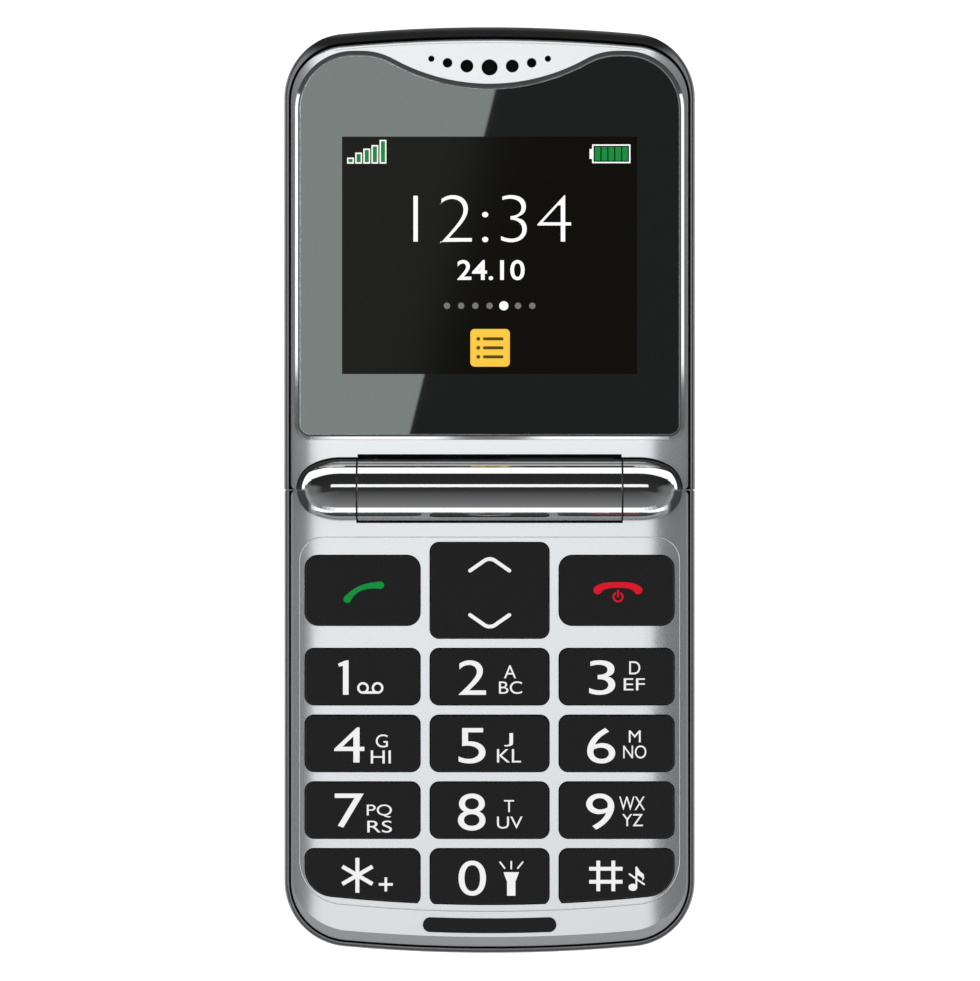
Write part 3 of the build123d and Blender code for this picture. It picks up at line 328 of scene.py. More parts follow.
def paint_tip_shade(made, slope, corner, turn):
    """Paints the steep tips of a domed piece darker on the side that faces the keys: a painted dark
    reflection. Each pair says where the dark starts and where it is full, for the normal's Z, its X to
    either side, and its Y towards the keys."""
    tree = made.node_tree
    normal = own_axes(made, "Normal")
    tip = soft_step(tree, sum_node(tree, "ABSOLUTE", normal["X"]), *corner)
    low = soft_step(tree, sum_node(tree, "SUBTRACT", 1.0, normal["Z"]), 1.0 - slope[0], 1.0 - slope[1])
    keys_side = soft_step(tree, sum_node(tree, "SUBTRACT", 0.0, normal["Y"]), *turn)
    share = sum_node(tree, "MULTIPLY", sum_node(tree, "MULTIPLY", tip, low), keys_side)
    finish_and_painted_light(made, share, TIP_SHADE_GREY, SATIN_ROUGHNESS)


def satin_rounding(made, low, high):
    """Gives the steep outer rounding of a rim a satin finish, between two values of its normal's Z."""
    tree = made.node_tree
    rise = own_axes(made, "Normal")["Z"]
    share = sum_node(tree, "MULTIPLY", sum_node(tree, "GREATER_THAN", rise, low),
                     sum_node(tree, "LESS_THAN", rise, high))
    finish_and_painted_light(made, share, SATIN_GREY, SATIN_ROUGHNESS)


def paint_edge_highlight(made, steep):
    """Paints a white highlight where a surface is steeper than a limit of its normal's Z, as on the plate's
    edges.
    """
    edge = sum_node(made.node_tree, "LESS_THAN", own_axes(made, "Normal")["Z"], steep)
    finish_and_painted_light(made, edge, EDGE_HIGHLIGHT_WHITE, EDGE_ROUGHNESS)


def paint_end_reflection(made, start, full):
    """Paints a metal lacquer black towards the lid's end, over a stretch of Y: a painted dark reflection."""
    share = soft_step(made.node_tree, own_axes(made, "Object")["Y"], start, full)
    finish_and_painted_light(made, share, BLACK, EDGE_ROUGHNESS)


for paint in (silver_paint, case_silver):
    add_flakes(paint, PAINT_FLAKES)
for lacquer in (gunmetal, lid_rim):
    add_flakes(lacquer, LACQUER_FLAKES)
# Painted shadow in black on the steep walls of the silver cases, and painted dark reflection and shade on
# the hinge's chrome
paint_steep_shade(case_silver, steep=0.5)
paint_steep_shade(hinge_chrome, steep=0.404, slant=0.24, side=0.0)
# Painted dark reflection: the hinge caps' steep tips are greyer on the keys' side
paint_tip_shade(hinge_chrome, slope=(0.86, 0.70), corner=(0.30, 0.60), turn=(-0.10, 0.04))
# Painted highlight: white on the keypad plate's steep edges
paint_edge_highlight(silver_paint, steep=0.93)
for lacquer in (gunmetal, lid_rim):
    satin_rounding(lacquer, low=0.04, high=0.40)
# Painted dark reflection: the lid's rim turns black towards the lid's end
paint_end_reflection(lid_rim, start=0.0573, full=0.0596)

node_materials = {
    silver_paint: ["keypad_plate"],
    case_silver: ["base_front_case", "lid_front_case"],
    gunmetal: ["base_side_band"],
    lid_rim: ["lid_side_band"],
    chrome: ["lens_trim"],
    hinge_chrome: ["hinge_barrel", "hinge_cap_left", "hinge_cap_right"],
    key_black: [name for name in nodes if name.startswith("key_")] + ["call_key", "end_key", "nav_key"],
    bumper_black: ["chin_bumper"],
    back_black: ["base_rear_case", "battery_cover", "lid_rear_case"],
    lens_black: ["display_lens"],
    steel: ["sim_holder", "usb_port", "microphone", "vibration_motor", "base_screws", "lid_screws",
            "hinge_cartridge", "hinge_cam_shaft", "hinge_bush", "lid_magnet"],
    board_green: ["main_board", "lid_board"],
    moulding: ["battery_contacts", "loudspeaker", "antenna", "earpiece_speaker", "lcd_module"],
    battery_wrap: ["battery"],
    dome_film: ["dome_sheet"],
    silicone: ["keypad_membrane"],
    flex_film: ["hinge_flex"],
    mesh_black: ["earpiece_mesh"],
    lamp_white: ["torch_led"],
    torch_clear: ["torch_lens"],
}
for finish, names in node_materials.items():
    for name in names:
        for slot in nodes[name].material_slots:
            slot.material = finish


# Outlines of flat shapes, in pixels of the photograph

def bar(left, top, right, bottom):
    """Outline of an upright rectangle."""
    return [(left, top), (left, bottom), (right, bottom), (right, top)]


def bar_frame(left, top, right, bottom, edge):
    """Four bars that frame a rectangle, inside its outline."""
    return [bar(left, top, right, top + edge), bar(left, bottom - edge, right, bottom),
            bar(left, top + edge, left + edge, bottom - edge),
            bar(right - edge, top + edge, right, bottom - edge)]


def arc(x, y, radius, start, end, steps=24):
    """Points along an arc, with angles in degrees against the clock from the right."""
    turns = [math.radians(start + (end - start) * step / steps) for step in range(steps + 1)]
    return [(x + radius * math.cos(turn), y - radius * math.sin(turn)) for turn in turns]


def disc(x, y, radius):
    """Outline of a full circle."""
    return arc(x, y, radius, 0, 360)[:-1]


def ring(x, y, outer, inner):
    """Two half rings that make a whole one."""
    return [arc(x, y, outer, 0, 180) + arc(x, y, inner, 180, 0),
            arc(x, y, outer, 180, 360) + arc(x, y, inner, 360, 180)]


def rounded(left, top, right, bottom, radius):
    """Outline of a rectangle with round corners."""
    corners = ((right - radius, top + radius, 0), (left + radius, top + radius, 90),
               (left + radius, bottom - radius, 180), (right - radius, bottom - radius, 270))
    return [point for x, y, start in corners for point in arc(x, y, radius, start, start + 90, 6)]


def round_end(middle, start, steps=8):
    """Points of a half circle round the end of a stroke, between its two sides."""
    offset = Vector(start) - Vector(middle)
    points = []
    for step in range(1, steps):
        turn = -math.pi * step / steps
        x = offset.x * math.cos(turn) - offset.y * math.sin(turn)
        y = offset.x * math.sin(turn) + offset.y * math.cos(turn)
        points.append((middle[0] + x, middle[1] + y))
    return points


def stroke(points, widths, round_ends=True):
    """Outline of a smooth line whose width may change along it, with round or flat ends."""
    if not isinstance(widths, (list, tuple)):
        widths = [widths] * len(points)
    left, right = [], []
    for step, (x, y) in enumerate(points):
        before = Vector(points[max(step - 1, 0)])
        after = Vector(points[min(step + 1, len(points) - 1)])
        along = (after - before).normalized()
        side = Vector((-along.y, along.x)) * widths[step] / 2
        left.append((x + side.x, y + side.y))
        right.append((x - side.x, y - side.y))
    if not round_ends:
        return left + right[::-1]
    return left + round_end(points[-1], left[-1]) + right[::-1] + round_end(points[0], right[0])


def smooth(points, steps=8):
    """A curve through the points, by the Catmull-Rom rule."""
    padded = [points[0]] + list(points) + [points[-1]]
    curve = []
    for index in range(1, len(padded) - 2):
        p0, p1, p2, p3 = (Vector(point) for point in padded[index - 1:index + 3])
        for step in range(steps):
            t = step / steps
            point = 0.5 * (2 * p1 + (p2 - p0) * t + (2 * p0 - 5 * p1 + 4 * p2 - p3) * t ** 2
                           + (3 * p1 - p0 - 3 * p2 + p3) * t ** 3)
            curve.append((point.x, point.y))
    curve.append(tuple(points[-1]))
    return curve


def handset(spine, middle, ends):
    """A curved stroke through the points of a spine, thicker towards its two ends."""
    curve = smooth(spine)
    widths = []
    for step in range(len(curve)):
        share = step / (len(curve) - 1)
        end = ends[0] if share < 0.5 else ends[1]
        widths.append(middle + (end - middle) * abs(2 * share - 1) ** 2)
    return stroke(curve, widths)


def spokes(x, y, reach, width, turns):
    """Crossed bars through a point, as in a star or a plus."""
    lines = []
    for turn in turns:
        angle = math.radians(turn)
        step_x = reach * math.cos(angle)
        step_y = reach * math.sin(angle)
        lines.append(stroke([(x - step_x, y + step_y), (x + step_x, y - step_y)], width, round_ends=False))
    return lines


# Pieces made of those outlines, or of letters

def add_piece(name, shape, body, made):
    """Turns a finished shape into a piece that moves with a body."""
    mesh = bpy.data.meshes.new(name)
    shape.to_mesh(mesh)
    shape.free()
    mesh.materials.append(made)
    piece = bpy.data.objects.new(name, mesh)
    bpy.context.scene.collection.objects.link(piece)
    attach(piece, body)
    return piece


def print_piece(name, outlines, level, body, made):
    """A thin raised print at a height: outlines in pixels, all joined in one piece."""
    shape = bmesh.new()
    for index, outline in enumerate(outlines):
        low = [shape.verts.new((*place(x, y), level - SINK)) for x, y in outline]
        high = [shape.verts.new((*place(x, y), level + INK + index * STEP)) for x, y in outline]
        shape.faces.new(high)
        shape.faces.new(low[::-1])
        count = len(outline)
        for step in range(count):
            after = (step + 1) % count
            shape.faces.new((low[step], low[after], high[after], high[step]))
    bmesh.ops.recalc_face_normals(shape, faces=shape.faces)
    return add_piece(name, shape, body, made)


# Any depth that isn't zero will do for the letters, which are then fitted to their boxes. Points closer
# together than SAME_POINT are one
LETTER_DEPTH = 0.01
SAME_POINT = PIXEL / 1000


def lettering(name, words, level, body, made, weight=0.0):
    """Letters or digits, each fitted to its own box in pixels: text, left, top, right, bottom."""
    joined = bmesh.new()
    for text, left, top, right, bottom in words:
        curve = bpy.data.curves.new(name, "FONT")
        curve.body = text
        curve.offset = weight
        curve.extrude = LETTER_DEPTH
        holder = bpy.data.objects.new(name, curve)
        bpy.context.scene.collection.objects.link(holder)
        bpy.context.view_layer.update()
        mesh = bpy.data.meshes.new_from_object(holder.evaluated_get(bpy.context.evaluated_depsgraph_get()))
        bpy.data.objects.remove(holder)
        bpy.data.curves.remove(curve)
        low = [min(vertex.co[axis] for vertex in mesh.vertices) for axis in range(3)]
        high = [max(vertex.co[axis] for vertex in mesh.vertices) for axis in range(3)]
        low_x, low_y = place(left, bottom)
        high_x, high_y = place(right, top)
        targets = ((low_x, high_x), (low_y, high_y), (level - SINK, level + INK))
        for vertex in mesh.vertices:
            for axis, (start, end) in enumerate(targets):
                share = (vertex.co[axis] - low[axis]) / (high[axis] - low[axis])
                vertex.co[axis] = start + (end - start) * share
        joined.from_mesh(mesh)
        bpy.data.meshes.remove(mesh)
    bmesh.ops.remove_doubles(joined, verts=joined.verts, dist=SAME_POINT)
    return add_piece(name, joined, body, made)


# Key legends: digits and letters with the left, top, right and bottom of their boxes in pixels

key_words = {
    "key_2": [("2", 458.6, 660, 486, 694.5), ("A", 504, 665, 516, 678), ("BC", 499, 681, 522, 693.5)],
    "key_3": [("3", 589, 660, 615, 694.5), ("D", 629, 661, 640, 674), ("EF", 623.5, 678, 644.6, 690)],
    "key_4": [("4", 334.5, 727, 364.6, 762), ("G", 376, 734, 388, 747), ("HI", 371, 750, 391, 763)],
    "key_5": [("5", 458.6, 727.6, 485.5, 763), ("J", 504, 732.7, 513, 746), ("KL", 497, 748.7, 521, 762)],
    "key_6": [("6", 587, 727.6, 615, 763), ("M", 628.6, 730, 640.4, 742), ("NO", 623, 745, 646, 758)],
    "key_7": [("7", 335, 793, 364, 827), ("PQ", 367, 804, 392, 817), ("RS", 367.5, 820, 392, 832)],
    "key_8": [("8", 458, 793, 485.5, 830), ("T", 504, 799.5, 514, 811.5), ("UV", 497, 816, 522.5, 828)],
    "key_9": [("9", 586, 793, 614, 829), ("WX", 619, 796, 644.6, 809.6), ("YZ", 622, 813.5, 642.6, 825.6)],
    "key_0": [("0", 458.6, 860, 486, 895)],
}
for key, words in key_words.items():
    lettering(f"legend_{key}", words, KEY_TOP, key, ink_white, weight=-0.002)


def digit_one():
    """A figure one with a flag and no foot."""
    left, right, bottom = 343.2, 348.8, 694.4
    stem = [(right, 659.9), (right, bottom), (left, bottom), (left, 665.4)]
    flag_low, flag_high, neck = (339.2, 666.4), (338.4, 663.4), (345.0, 660.4)
    return [[neck] + stem + [flag_low, flag_high]]


def voicemail_sign():
    """Two reels joined by a line."""
    left, right, middle = 363.2, 377.8, 687.6
    outer, inner = 5.8, 3.6
    line_top, line_bottom = 690.9, 693.4
    reels = ring(left, middle, outer, inner) + ring(right, middle, outer, inner)
    return reels + [bar(left, line_top, right, line_bottom)]


def torch_sign():
    """A hand torch with three rays."""
    rim, neck, foot = 871.5, 880, 895
    head = [(503.5, rim), (519, rim), (515.8, neck), (506.5, neck)]
    grip = bar(507, neck, 515.4, foot)
    rays = (((511.2, 868), (511.2, 861)), ((504.6, 867.5), (500.0, 861.5)), ((517.8, 867.5), (522.6, 861.5)))
    ray_width = 1.6
    return [head, grip] + [stroke(ray, ray_width) for ray in rays]


def hash_sign():
    """Two upright bars crossed by two level ones."""
    left, top, right, bottom = 589, 860, 622.3, 890.5
    width = 3.8
    uprights = [bar(x, top, x + width, bottom) for x in (596.2, 611.2)]
    levels = [bar(left, y, right, y + width) for y in (866.2, 879.2)]
    return uprights + levels


def silent_sign():
    """A crossed out note."""
    head_x, head_y = 632.6, 886.6
    head_width, head_height = 4.4, 3.6
    turns = [math.radians(turn) for turn in range(0, 360, 15)]
    head = [(head_x + head_width * math.cos(turn), head_y + head_height * math.sin(turn)) for turn in turns]
    stem = bar(635.2, 866, 637, 887)
    flag = [(636.9, 866), (639.6, 870.5), (643.4, 873.6), (643.9, 877.6), (642.2, 880.2), (642.0, 877.4),
            (639.2, 875.4), (636.9, 874.6)]
    cross = stroke([(629.2, 873.4), (643.8, 883.6)], 1.7)
    return [head, stem, flag, cross]


def star_sign():
    """A six armed star."""
    middle_x, middle_y, reach, width = 357.6, 874.6, 17.4, 4.0
    return spokes(middle_x, middle_y, reach, width, (90, 30, 150))


def plus_sign():
    """A small plus."""
    middle_x, middle_y, reach, width = 386, 883.7, 7.0, 2.6
    return spokes(middle_x, middle_y, reach, width, (0, 90))


def chevron(foot, rise):
    """A shallow arrow with a rounded peak over its feet, pointing up for a positive rise."""
    middle, half, flat, width = 489.7, 19.6, 4.6, 3.7
    drop = rise * 0.10
    steps = 4
    peak = [(middle + flat * step / steps, foot - rise + drop * (step / steps) ** 2)
            for step in range(-steps, steps + 1)]
    return [stroke([(middle - half, foot)] + peak + [(middle + half, foot)], width)]


def call_sign():
    """A lifted handset on its side."""
    spine = [(347.6, 598.9), (351.2, 594.6), (357.0, 590.0), (363.8, 587.0), (371.5, 585.4), (380.6, 585.0)]
    return [handset(spine, middle=5.0, ends=(7.8, 7.4))]


def end_sign():
    """A resting handset with a small power sign under it."""
    spine = [(597.6, 589.8), (601.5, 586.9), (608.5, 585.2), (617.7, 584.8), (627.0, 585.2), (634.0, 586.9),
             (637.8, 589.8)]
    power_x, power_y, power_radius, line_width = 617.8, 596.6, 4.6, 1.8
    circle = arc(power_x, power_y, power_radius, 130, 410)
    tick = [(power_x, 590.6), (power_x, 596.4)]
    power = [stroke(circle, line_width), stroke(tick, line_width)]
    return [handset(spine, middle=5.6, ends=(8.6, 8.6))] + power


key_signs = (
    ("legend_key_1", digit_one(), "key_1", ink_white),
    ("sign_voicemail", voicemail_sign(), "key_1", ink_white),
    ("sign_torch", torch_sign(), "key_0", ink_white),
    ("legend_star", star_sign(), "key_star", ink_white),
    ("legend_plus", plus_sign(), "key_star", ink_white),
    ("legend_hash", hash_sign(), "key_hash", ink_white),
    ("sign_silent", silent_sign(), "key_hash", ink_white),
    ("sign_up", chevron(foot=570.5, rise=11.6), "nav_key", ink_white),
    ("sign_down", chevron(foot=614.8, rise=-11.6), "nav_key", ink_white),
    ("sign_call", call_sign(), "call_key", ink_green),
    ("sign_end", end_sign(), "end_key", ink_red),
)
for name, outlines, key, ink in key_signs:
    print_piece(name, outlines, KEY_TOP, key, ink)


# What the display shows, on a thin dark picture area. Each box is its left, top, right and bottom in pixels

PICTURE = (342.2, 137.0, 637.0, 374.2)
CLOCK_BOX = (413.5, 195.5, 571, 243.5)
DATE_BOX = (457.3, 260.3, 524.6, 280.4)
MENU_BOX = (470.4, 329.2, 509.8, 366.8)
picture = print_piece("display_picture", [bar(*PICTURE)], LENS_TOP, "lid", picture_dark)
SHOWN = LENS_TOP + INK


def signal_bars():
    """Five rising bars: their frames, and the fill inside."""
    tops = (158.0, 153.0, 149.0, 145.5, 140.3)
    first, pitch, width, bottom, edge = 347.3, 8.1, 6.8, 164.0, 1.3
    frames, fills = [], []
    for index, top in enumerate(tops):
        left = first + pitch * index
        right = left + width
        frames += bar_frame(left, top, right, bottom, edge)
        fills.append(bar(left + edge, top + edge, right - edge, bottom - edge))
    return frames, fills


def battery_sign():
    """A battery lying down: its frame with a nub, and five full cells."""
    left, top, right, bottom, edge = 592.0, 144.8, 630.3, 163.6, 1.4
    nub = bar(589.4, 149.4, left, 159.2)
    cell_count, gap = 5, 1.2
    pitch = (right - left - 2 * edge - gap) / cell_count
    cells = [bar(left + edge + gap + pitch * index, top + edge + gap,
                 left + edge + pitch * (index + 1), bottom - edge - gap) for index in range(cell_count)]
    return bar_frame(left, top, right, bottom, edge) + [nub], cells


def menu_sign():
    """A rounded tile with three rows of a dot and a line."""
    tile_corner, line_corner = 4.2, 1.2
    dot_x, dot_radius = 478.3, 1.9
    line_left, line_right, half = 483.0, 503.4, 1.5
    rows = []
    for y in (339.0, 348.0, 357.0):
        rows += [disc(dot_x, y, dot_radius), rounded(line_left, y - half, line_right, y + half, line_corner)]
    return rounded(*MENU_BOX, tile_corner), rows


def week_row():
    """Seven dots in a row: those of the other days, and today's larger one."""
    first, pitch, y, today = 447.0, 14.2, 306.0, 4
    radius, today_radius = 3.2, 4.6
    others = [disc(first + pitch * day, y, radius) for day in range(7) if day != today]
    return others, disc(first + pitch * today, y, today_radius)


bar_frames, bar_fills = signal_bars()
print_piece("signal_frames", bar_frames, SHOWN, "lid", pixel_white)
print_piece("signal_fills", bar_fills, SHOWN, "lid", pixel_green)
cell_frames, cell_fills = battery_sign()
print_piece("battery_frame", cell_frames, SHOWN, "lid", pixel_white)
print_piece("battery_cells", cell_fills, SHOWN, "lid", pixel_green)
lettering("clock", [("12:34", *CLOCK_BOX)], SHOWN, "lid", pixel_white, weight=-0.022)
lettering("date", [("24.10", *DATE_BOX)], SHOWN, "lid", pixel_white, weight=0.012)
tile, tile_rows = menu_sign()
print_piece("menu_tile", [tile], SHOWN, "lid", pixel_amber)
print_piece("menu_rows", tile_rows, SHOWN + INK, "lid", pixel_brown)
other_days, today_dot = week_row()
print_piece("week_dots", other_days, SHOWN, "lid", pixel_grey)
print_piece("week_today", [today_dot], SHOWN, "lid", pixel_white)


# Stage, light and camera

WHITE = (1.0, 1.0, 1.0, 1.0)

# The floor: its side, how far it lies under the phone, how pale it is, and how much it glows to the camera
# and in reflections
FLOOR_SIDE = 4.0
FLOOR_DROP = 0.00002
FLOOR_PALE = 0.82
FLOOR_GLOW = 0.72

# A painted shadow on the strip of floor between the two halves of the phone: half its width, how far it
# goes on past the phone's sides, and its glow
SEAM = 0.00009
SEAM_REACH = 0.00015
SEAM_SHADOW_GLOW = 0.16

# The camera's lens and sensor in millimetres, and the height at which it sees a pixel as PIXEL wide
CAMERA_LENS = 200.0
SENSOR = 36.0
FACE_HEIGHT = 0.0092
CAMERA_HEIGHT = IMAGE_WIDTH * PIXEL * CAMERA_LENS / SENSOR
AIM_X, AIM_Y = place(IMAGE_WIDTH / 2, IMAGE_HEIGHT / 2)

# Strength of the world's soft light, and what mirrors see of the world: pairs of degrees from straight up
# and brightness. The headings, as shares of Y and X, say where the chin's wall turns into the lid's, and
# where these two turn into the side walls.
SOFT_LIGHT = 0.76
LID_WALL = ((0, 0.03), (90, 0.014), (180, 0.014))
CHIN_WALL = ((0, 0.036), (3, 0.041), (11, 0.073), (19, 0.096), (42, 0.158), (63, 0.227), (80, 0.227),
             (180, 0.20))
SIDE_WALLS = ((0, 0.03), (32, 0.03), (48, 0.16), (180, 0.20))
LID_HEADING = (-0.12, 0.12)
SIDE_HEADING = (0.88, 0.995)

# Height of the hinge's axis, on which the end panels are aimed, and the two ends as directions along Y
HINGE_HEIGHT = 0.0105
LID_END = 1
CHIN_END = -1

# Stacked panels at the chin's end, so that their light fades towards the tips of the hinge caps
CHIN_LIGHT_WIDTHS = (0.20, 0.34, 0.48, 0.64)

# The soft light over the silver faces, dimmer towards the chin: from and to along Y, and brightness
SILVER_LIGHT = ((-0.23, -0.10, 0.80), (-0.10, -0.02, 0.96), (-0.02, 0.23, 1.05))
SILVER_LIGHT_X = -0.052
SILVER_LIGHT_HEIGHT = 0.60
SILVER_LIGHT_WIDTH = 0.34

# The window mirrored in the lens: two pixels on its right edge, its height over the lens and its tint
GLARE_TOP = (495.5, 90)
GLARE_BOTTOM = (409.5, 434)
GLARE_HEIGHT = 1.0
GLARE_TINT = (0.92, 1.05, 1.0)


def white_floor():
    """A pale floor that looks white to the camera and in reflections, and keeps the soft shadow, with a
    painted shadow under the seam between the halves: there the floor is black and glows less."""
    made = bpy.data.materials.new("floor_white")
    made.use_nodes = True
    tree = made.node_tree
    shader = tree.nodes["Principled BSDF"]
    shader.inputs["Roughness"].default_value = 0.9
    shader.inputs["Specular IOR Level"].default_value = 0.0
    axes = split_axes(tree, tree.nodes.new("ShaderNodeTexCoord").outputs["Object"])
    # Painted shadow: under the seam the floor is black and glows less
    outside = [sum_node(tree, "GREATER_THAN", sum_node(tree, "ABSOLUTE", axes[axis]), reach)
               for axis, reach in (("X", cad_box[1][0] + SEAM_REACH), ("Y", SEAM))]
    unshadowed_floor = sum_node(tree, "MAXIMUM", *outside)
    tree.links.new(sum_node(tree, "MULTIPLY", unshadowed_floor, FLOOR_PALE), shader.inputs["Base Color"])
    rays = tree.nodes.new("ShaderNodeLightPath").outputs
    seen = sum_node(tree, "MAXIMUM", rays["Is Camera Ray"], rays["Is Glossy Ray"])
    open_glow = sum_node(tree, "MULTIPLY", unshadowed_floor, FLOOR_GLOW - SEAM_SHADOW_GLOW)
    glow = sum_node(tree, "MULTIPLY", seen, sum_node(tree, "ADD", SEAM_SHADOW_GLOW, open_glow))
    tree.links.new(glow, shader.inputs["Emission Strength"])
    shader.inputs["Emission Color"].default_value = WHITE
    bpy.ops.mesh.primitive_plane_add(size=FLOOR_SIDE, location=(0, 0, -FLOOR_DROP))
    floor = bpy.context.object
    floor.name = "floor"
    floor.data.materials.append(made)


def mirrored_room(tree):
    """What mirrors see: a dark ceiling that opens to lighter walls at the phone's two sides, a soft slope at
    the chin's end and a dark wall at the lid's end."""
    axes = split_axes(tree, tree.nodes.new("ShaderNodeTexCoord").outputs["Generated"])
    fall = sum_node(tree, "DIVIDE", sum_node(tree, "ARCCOSINE", axes["Z"]), math.pi)
    flat = tree.nodes.new("ShaderNodeCombineXYZ")
    tree.links.new(axes["X"], flat.inputs["X"])
    tree.links.new(axes["Y"], flat.inputs["Y"])
    unit = tree.nodes.new("ShaderNodeVectorMath")
    unit.operation = "NORMALIZE"
    tree.links.new(flat.outputs["Vector"], unit.inputs[0])
    heading = split_axes(tree, unit.outputs["Vector"])
    lidward = soft_step(tree, heading["Y"], *LID_HEADING)
    sideward = soft_step(tree, sum_node(tree, "ABSOLUTE", heading["X"]), *SIDE_HEADING)
    ends = blend(tree, lidward, ramp(tree, fall, CHIN_WALL), ramp(tree, fall, LID_WALL))
    return blend(tree, sideward, ends, ramp(tree, fall, SIDE_WALLS))


def studio_world():
    """White to the camera, soft and even on the object, and the mirrored room in its reflections."""
    world = bpy.data.worlds.new("studio")
    bpy.context.scene.world = world
    world.use_nodes = True
    tree = world.node_tree
    tree.nodes.clear()
    rays = tree.nodes.new("ShaderNodeLightPath").outputs
    soft, white, mirror = (tree.nodes.new("ShaderNodeBackground") for index in range(3))
    soft.inputs["Color"].default_value = WHITE
    soft.inputs["Strength"].default_value = SOFT_LIGHT
    white.inputs["Color"].default_value = WHITE
    tree.links.new(mirrored_room(tree), mirror.inputs["Color"])
    glossy, shown = (tree.nodes.new("ShaderNodeMixShader") for index in range(2))
    tree.links.new(rays["Is Glossy Ray"], glossy.inputs["Fac"])
    tree.links.new(soft.outputs["Background"], glossy.inputs[1])
    tree.links.new(mirror.outputs["Background"], glossy.inputs[2])
    tree.links.new(rays["Is Camera Ray"], shown.inputs["Fac"])
    tree.links.new(glossy.outputs["Shader"], shown.inputs[1])
    tree.links.new(white.outputs["Background"], shown.inputs[2])
    out = tree.nodes.new("ShaderNodeOutputWorld")
    tree.links.new(shown.outputs["Shader"], out.inputs["Surface"])


def lamp_panel(name, middle, width, height, radiance, turn=(0.0, 0.0, 0.0), tint=(1.0, 1.0, 1.0), only=None,
               through=False):
    """A soft light panel that faces down before its turn. It lights only the objects listed, if there is a
    list, and passes through the phone to them if asked."""
    lamp = bpy.data.lights.new(name, "AREA")
    lamp.shape = "RECTANGLE"
    lamp.size = width
    lamp.size_y = height
    lamp.energy = radiance * math.pi * width * height
    lamp.color = tint
    panel = bpy.data.objects.new(name, lamp)
    bpy.context.scene.collection.objects.link(panel)
    panel.location = middle
    panel.rotation_euler = turn
    panel.visible_camera = False
    if only is not None:
        lit = bpy.data.collections.new(f"{name}_lit")
        for piece in only:
            lit.objects.link(piece)
        panel.light_linking.receiver_collection = lit
    if through:
        # Only the torch's lamp, hidden in the lid, stops this light
        stops = bpy.data.collections.new(f"{name}_stops")
        stops.objects.link(nodes["torch_led"])
        panel.light_linking.blocker_collection = stops
    return panel


def wall_panel(name, end, high, low, distance, width, radiance, only):
    """An upright panel at one end of the phone, between two angles over and under the horizon."""
    top = HINGE_HEIGHT + distance * math.tan(math.radians(high))
    bottom = HINGE_HEIGHT + distance * math.tan(math.radians(low))
    lamp_panel(name, (0.0, end * distance, (top + bottom) / 2), width, top - bottom, radiance,
               turn=(-end * math.pi / 2, 0.0, 0.0), only=only, through=True)


def ceiling_panel(name, near, far, height, width, radiance, only):
    """A level strip over the phone, between two angles from straight up towards the lid's end."""
    start = height * math.tan(math.radians(near))
    end = height * math.tan(math.radians(far))
    lamp_panel(name, (0.0, (start + end) / 2, height), width, end - start, radiance, only=only)


def glare_panel(reach, radiance, only):
    """A window mirrored in the lens, with its right edge on the line between the two glare pixels."""
    spread = 1 + GLARE_HEIGHT / CAMERA_HEIGHT
    corners = []
    for pixel in (GLARE_TOP, GLARE_BOTTOM):
        x, y = place(*pixel)
        corners.append(Vector((AIM_X + (x - AIM_X) * spread, AIM_Y + (y - AIM_Y) * spread)))
    edge = corners[0] - corners[1]
    along = edge.normalized()
    across = Vector((-along.y, along.x))
    middle = (corners[0] + corners[1]) / 2 + across * reach / 2
    turn = math.atan2(across.y, across.x) - math.pi
    lamp_panel("glare", (middle.x, middle.y, LENS_TOP + GLARE_HEIGHT), reach, 2 * edge.length, radiance,
               turn=(0.0, 0.0, turn), tint=GLARE_TINT, only=only)


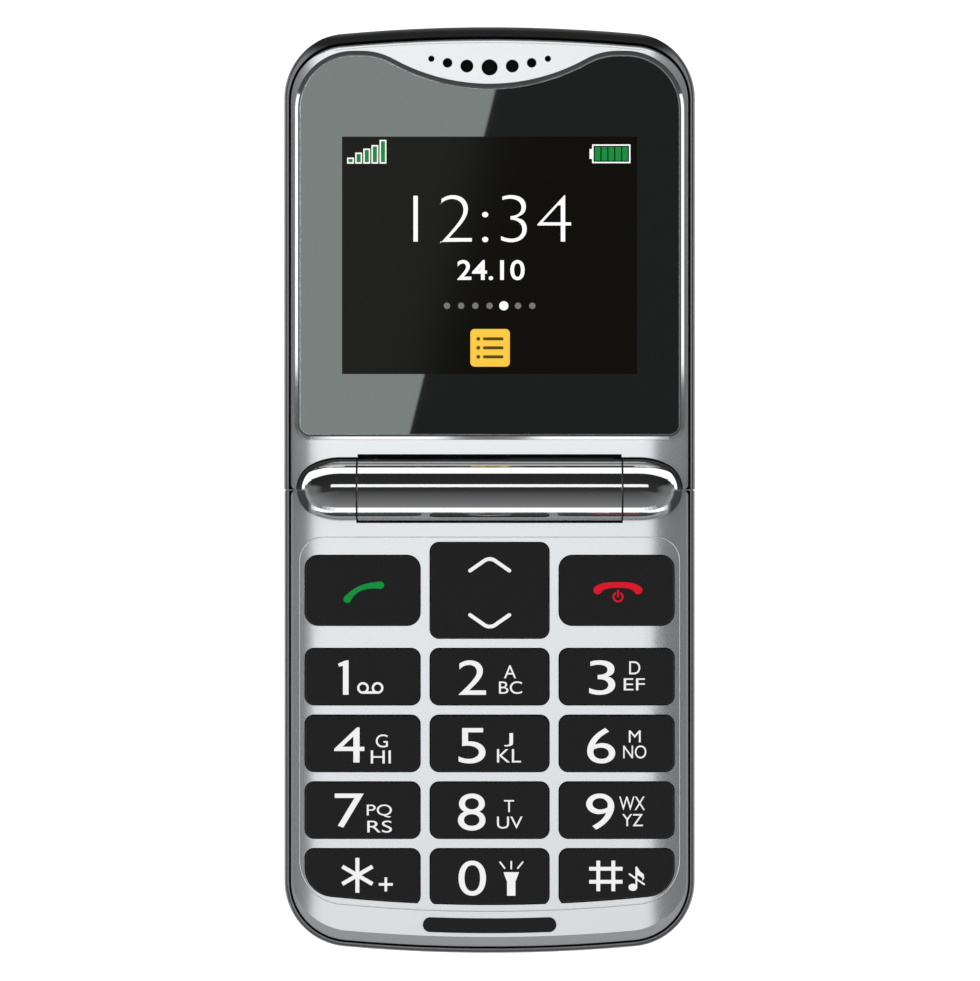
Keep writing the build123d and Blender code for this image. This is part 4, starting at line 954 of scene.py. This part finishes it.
def studio_lamps():
    """All the panels. Those that list what they light shape the reflections on it."""
    faces = [nodes[name] for name in node_materials[silver_paint] + node_materials[case_silver]]
    rims = [nodes["base_side_band"], nodes["lid_side_band"]]
    hinge = [nodes[name] for name in node_materials[hinge_chrome]]
    trim = [nodes["lens_trim"]]
    lens = [nodes["display_lens"]]

    key_light = lamp_panel("key_light", middle=(0.0, 0.10, 0.70), width=0.60, height=0.60, radiance=1.0)
    key_light.visible_glossy = False
    for start, end, radiance in SILVER_LIGHT:
        lamp_panel("silver_light", (SILVER_LIGHT_X, (start + end) / 2, SILVER_LIGHT_HEIGHT),
                   SILVER_LIGHT_WIDTH, end - start, radiance, only=faces + rims)
    ceiling_panel("hinge_line", near=10.6, far=21.0, height=0.60, width=0.40, radiance=1.1, only=hinge)
    wall_panel("lid_end_light", LID_END, high=25.0, low=-29.0, distance=0.60, width=4.0, radiance=1.2,
               only=hinge)
    wall_panel("strip_light", LID_END, high=64.0, low=8.0, distance=0.60, width=3.0, radiance=1.0,
               only=[nodes["lid_front_case"]])
    wall_panel("lens_end_light", LID_END, high=40.0, low=9.0, distance=0.62, width=4.0, radiance=2.4,
               only=lens)
    for width in CHIN_LIGHT_WIDTHS:
        wall_panel("chin_end_light", CHIN_END, high=20.0, low=-10.0, distance=0.60, width=width,
                   radiance=1.0 / len(CHIN_LIGHT_WIDTHS), only=hinge)
    lamp_panel("trim_fill", middle=(0.0, 0.03, 0.90), width=1.6, height=1.6, radiance=0.045, only=trim)
    for side in (-1, 1):
        lamp_panel("trim_light", middle=(side * 0.395, 0.1145, 0.51), width=0.19, height=0.171,
                   radiance=1.15, only=trim)
        lamp_panel("trim_low_light", middle=(side * 0.028, -0.43, 0.60), width=0.034, height=0.20,
                   radiance=1.1, only=trim)
        lamp_panel("rim_light", middle=(side * 0.60, 0.0, 0.17), width=0.36, height=0.80, radiance=0.9,
                   turn=(0.0, side * math.pi / 2, 0.0), only=rims)
    glare_panel(reach=0.30, radiance=4.9, only=lens + [picture])


def top_camera():
    """A long lens that looks straight down from over the middle of the photograph."""
    data = bpy.data.cameras.new("camera")
    data.sensor_fit = "HORIZONTAL"
    data.sensor_width = SENSOR
    data.lens = CAMERA_LENS
    data.clip_start = 0.01
    camera = bpy.data.objects.new("camera", data)
    bpy.context.scene.collection.objects.link(camera)
    camera.location = (AIM_X, AIM_Y, FACE_HEIGHT + CAMERA_HEIGHT)
    return camera


white_floor()
studio_world()
studio_lamps()
bpy.context.scene.camera = top_camera()
bpy.context.scene.view_settings.view_transform = "Standard"
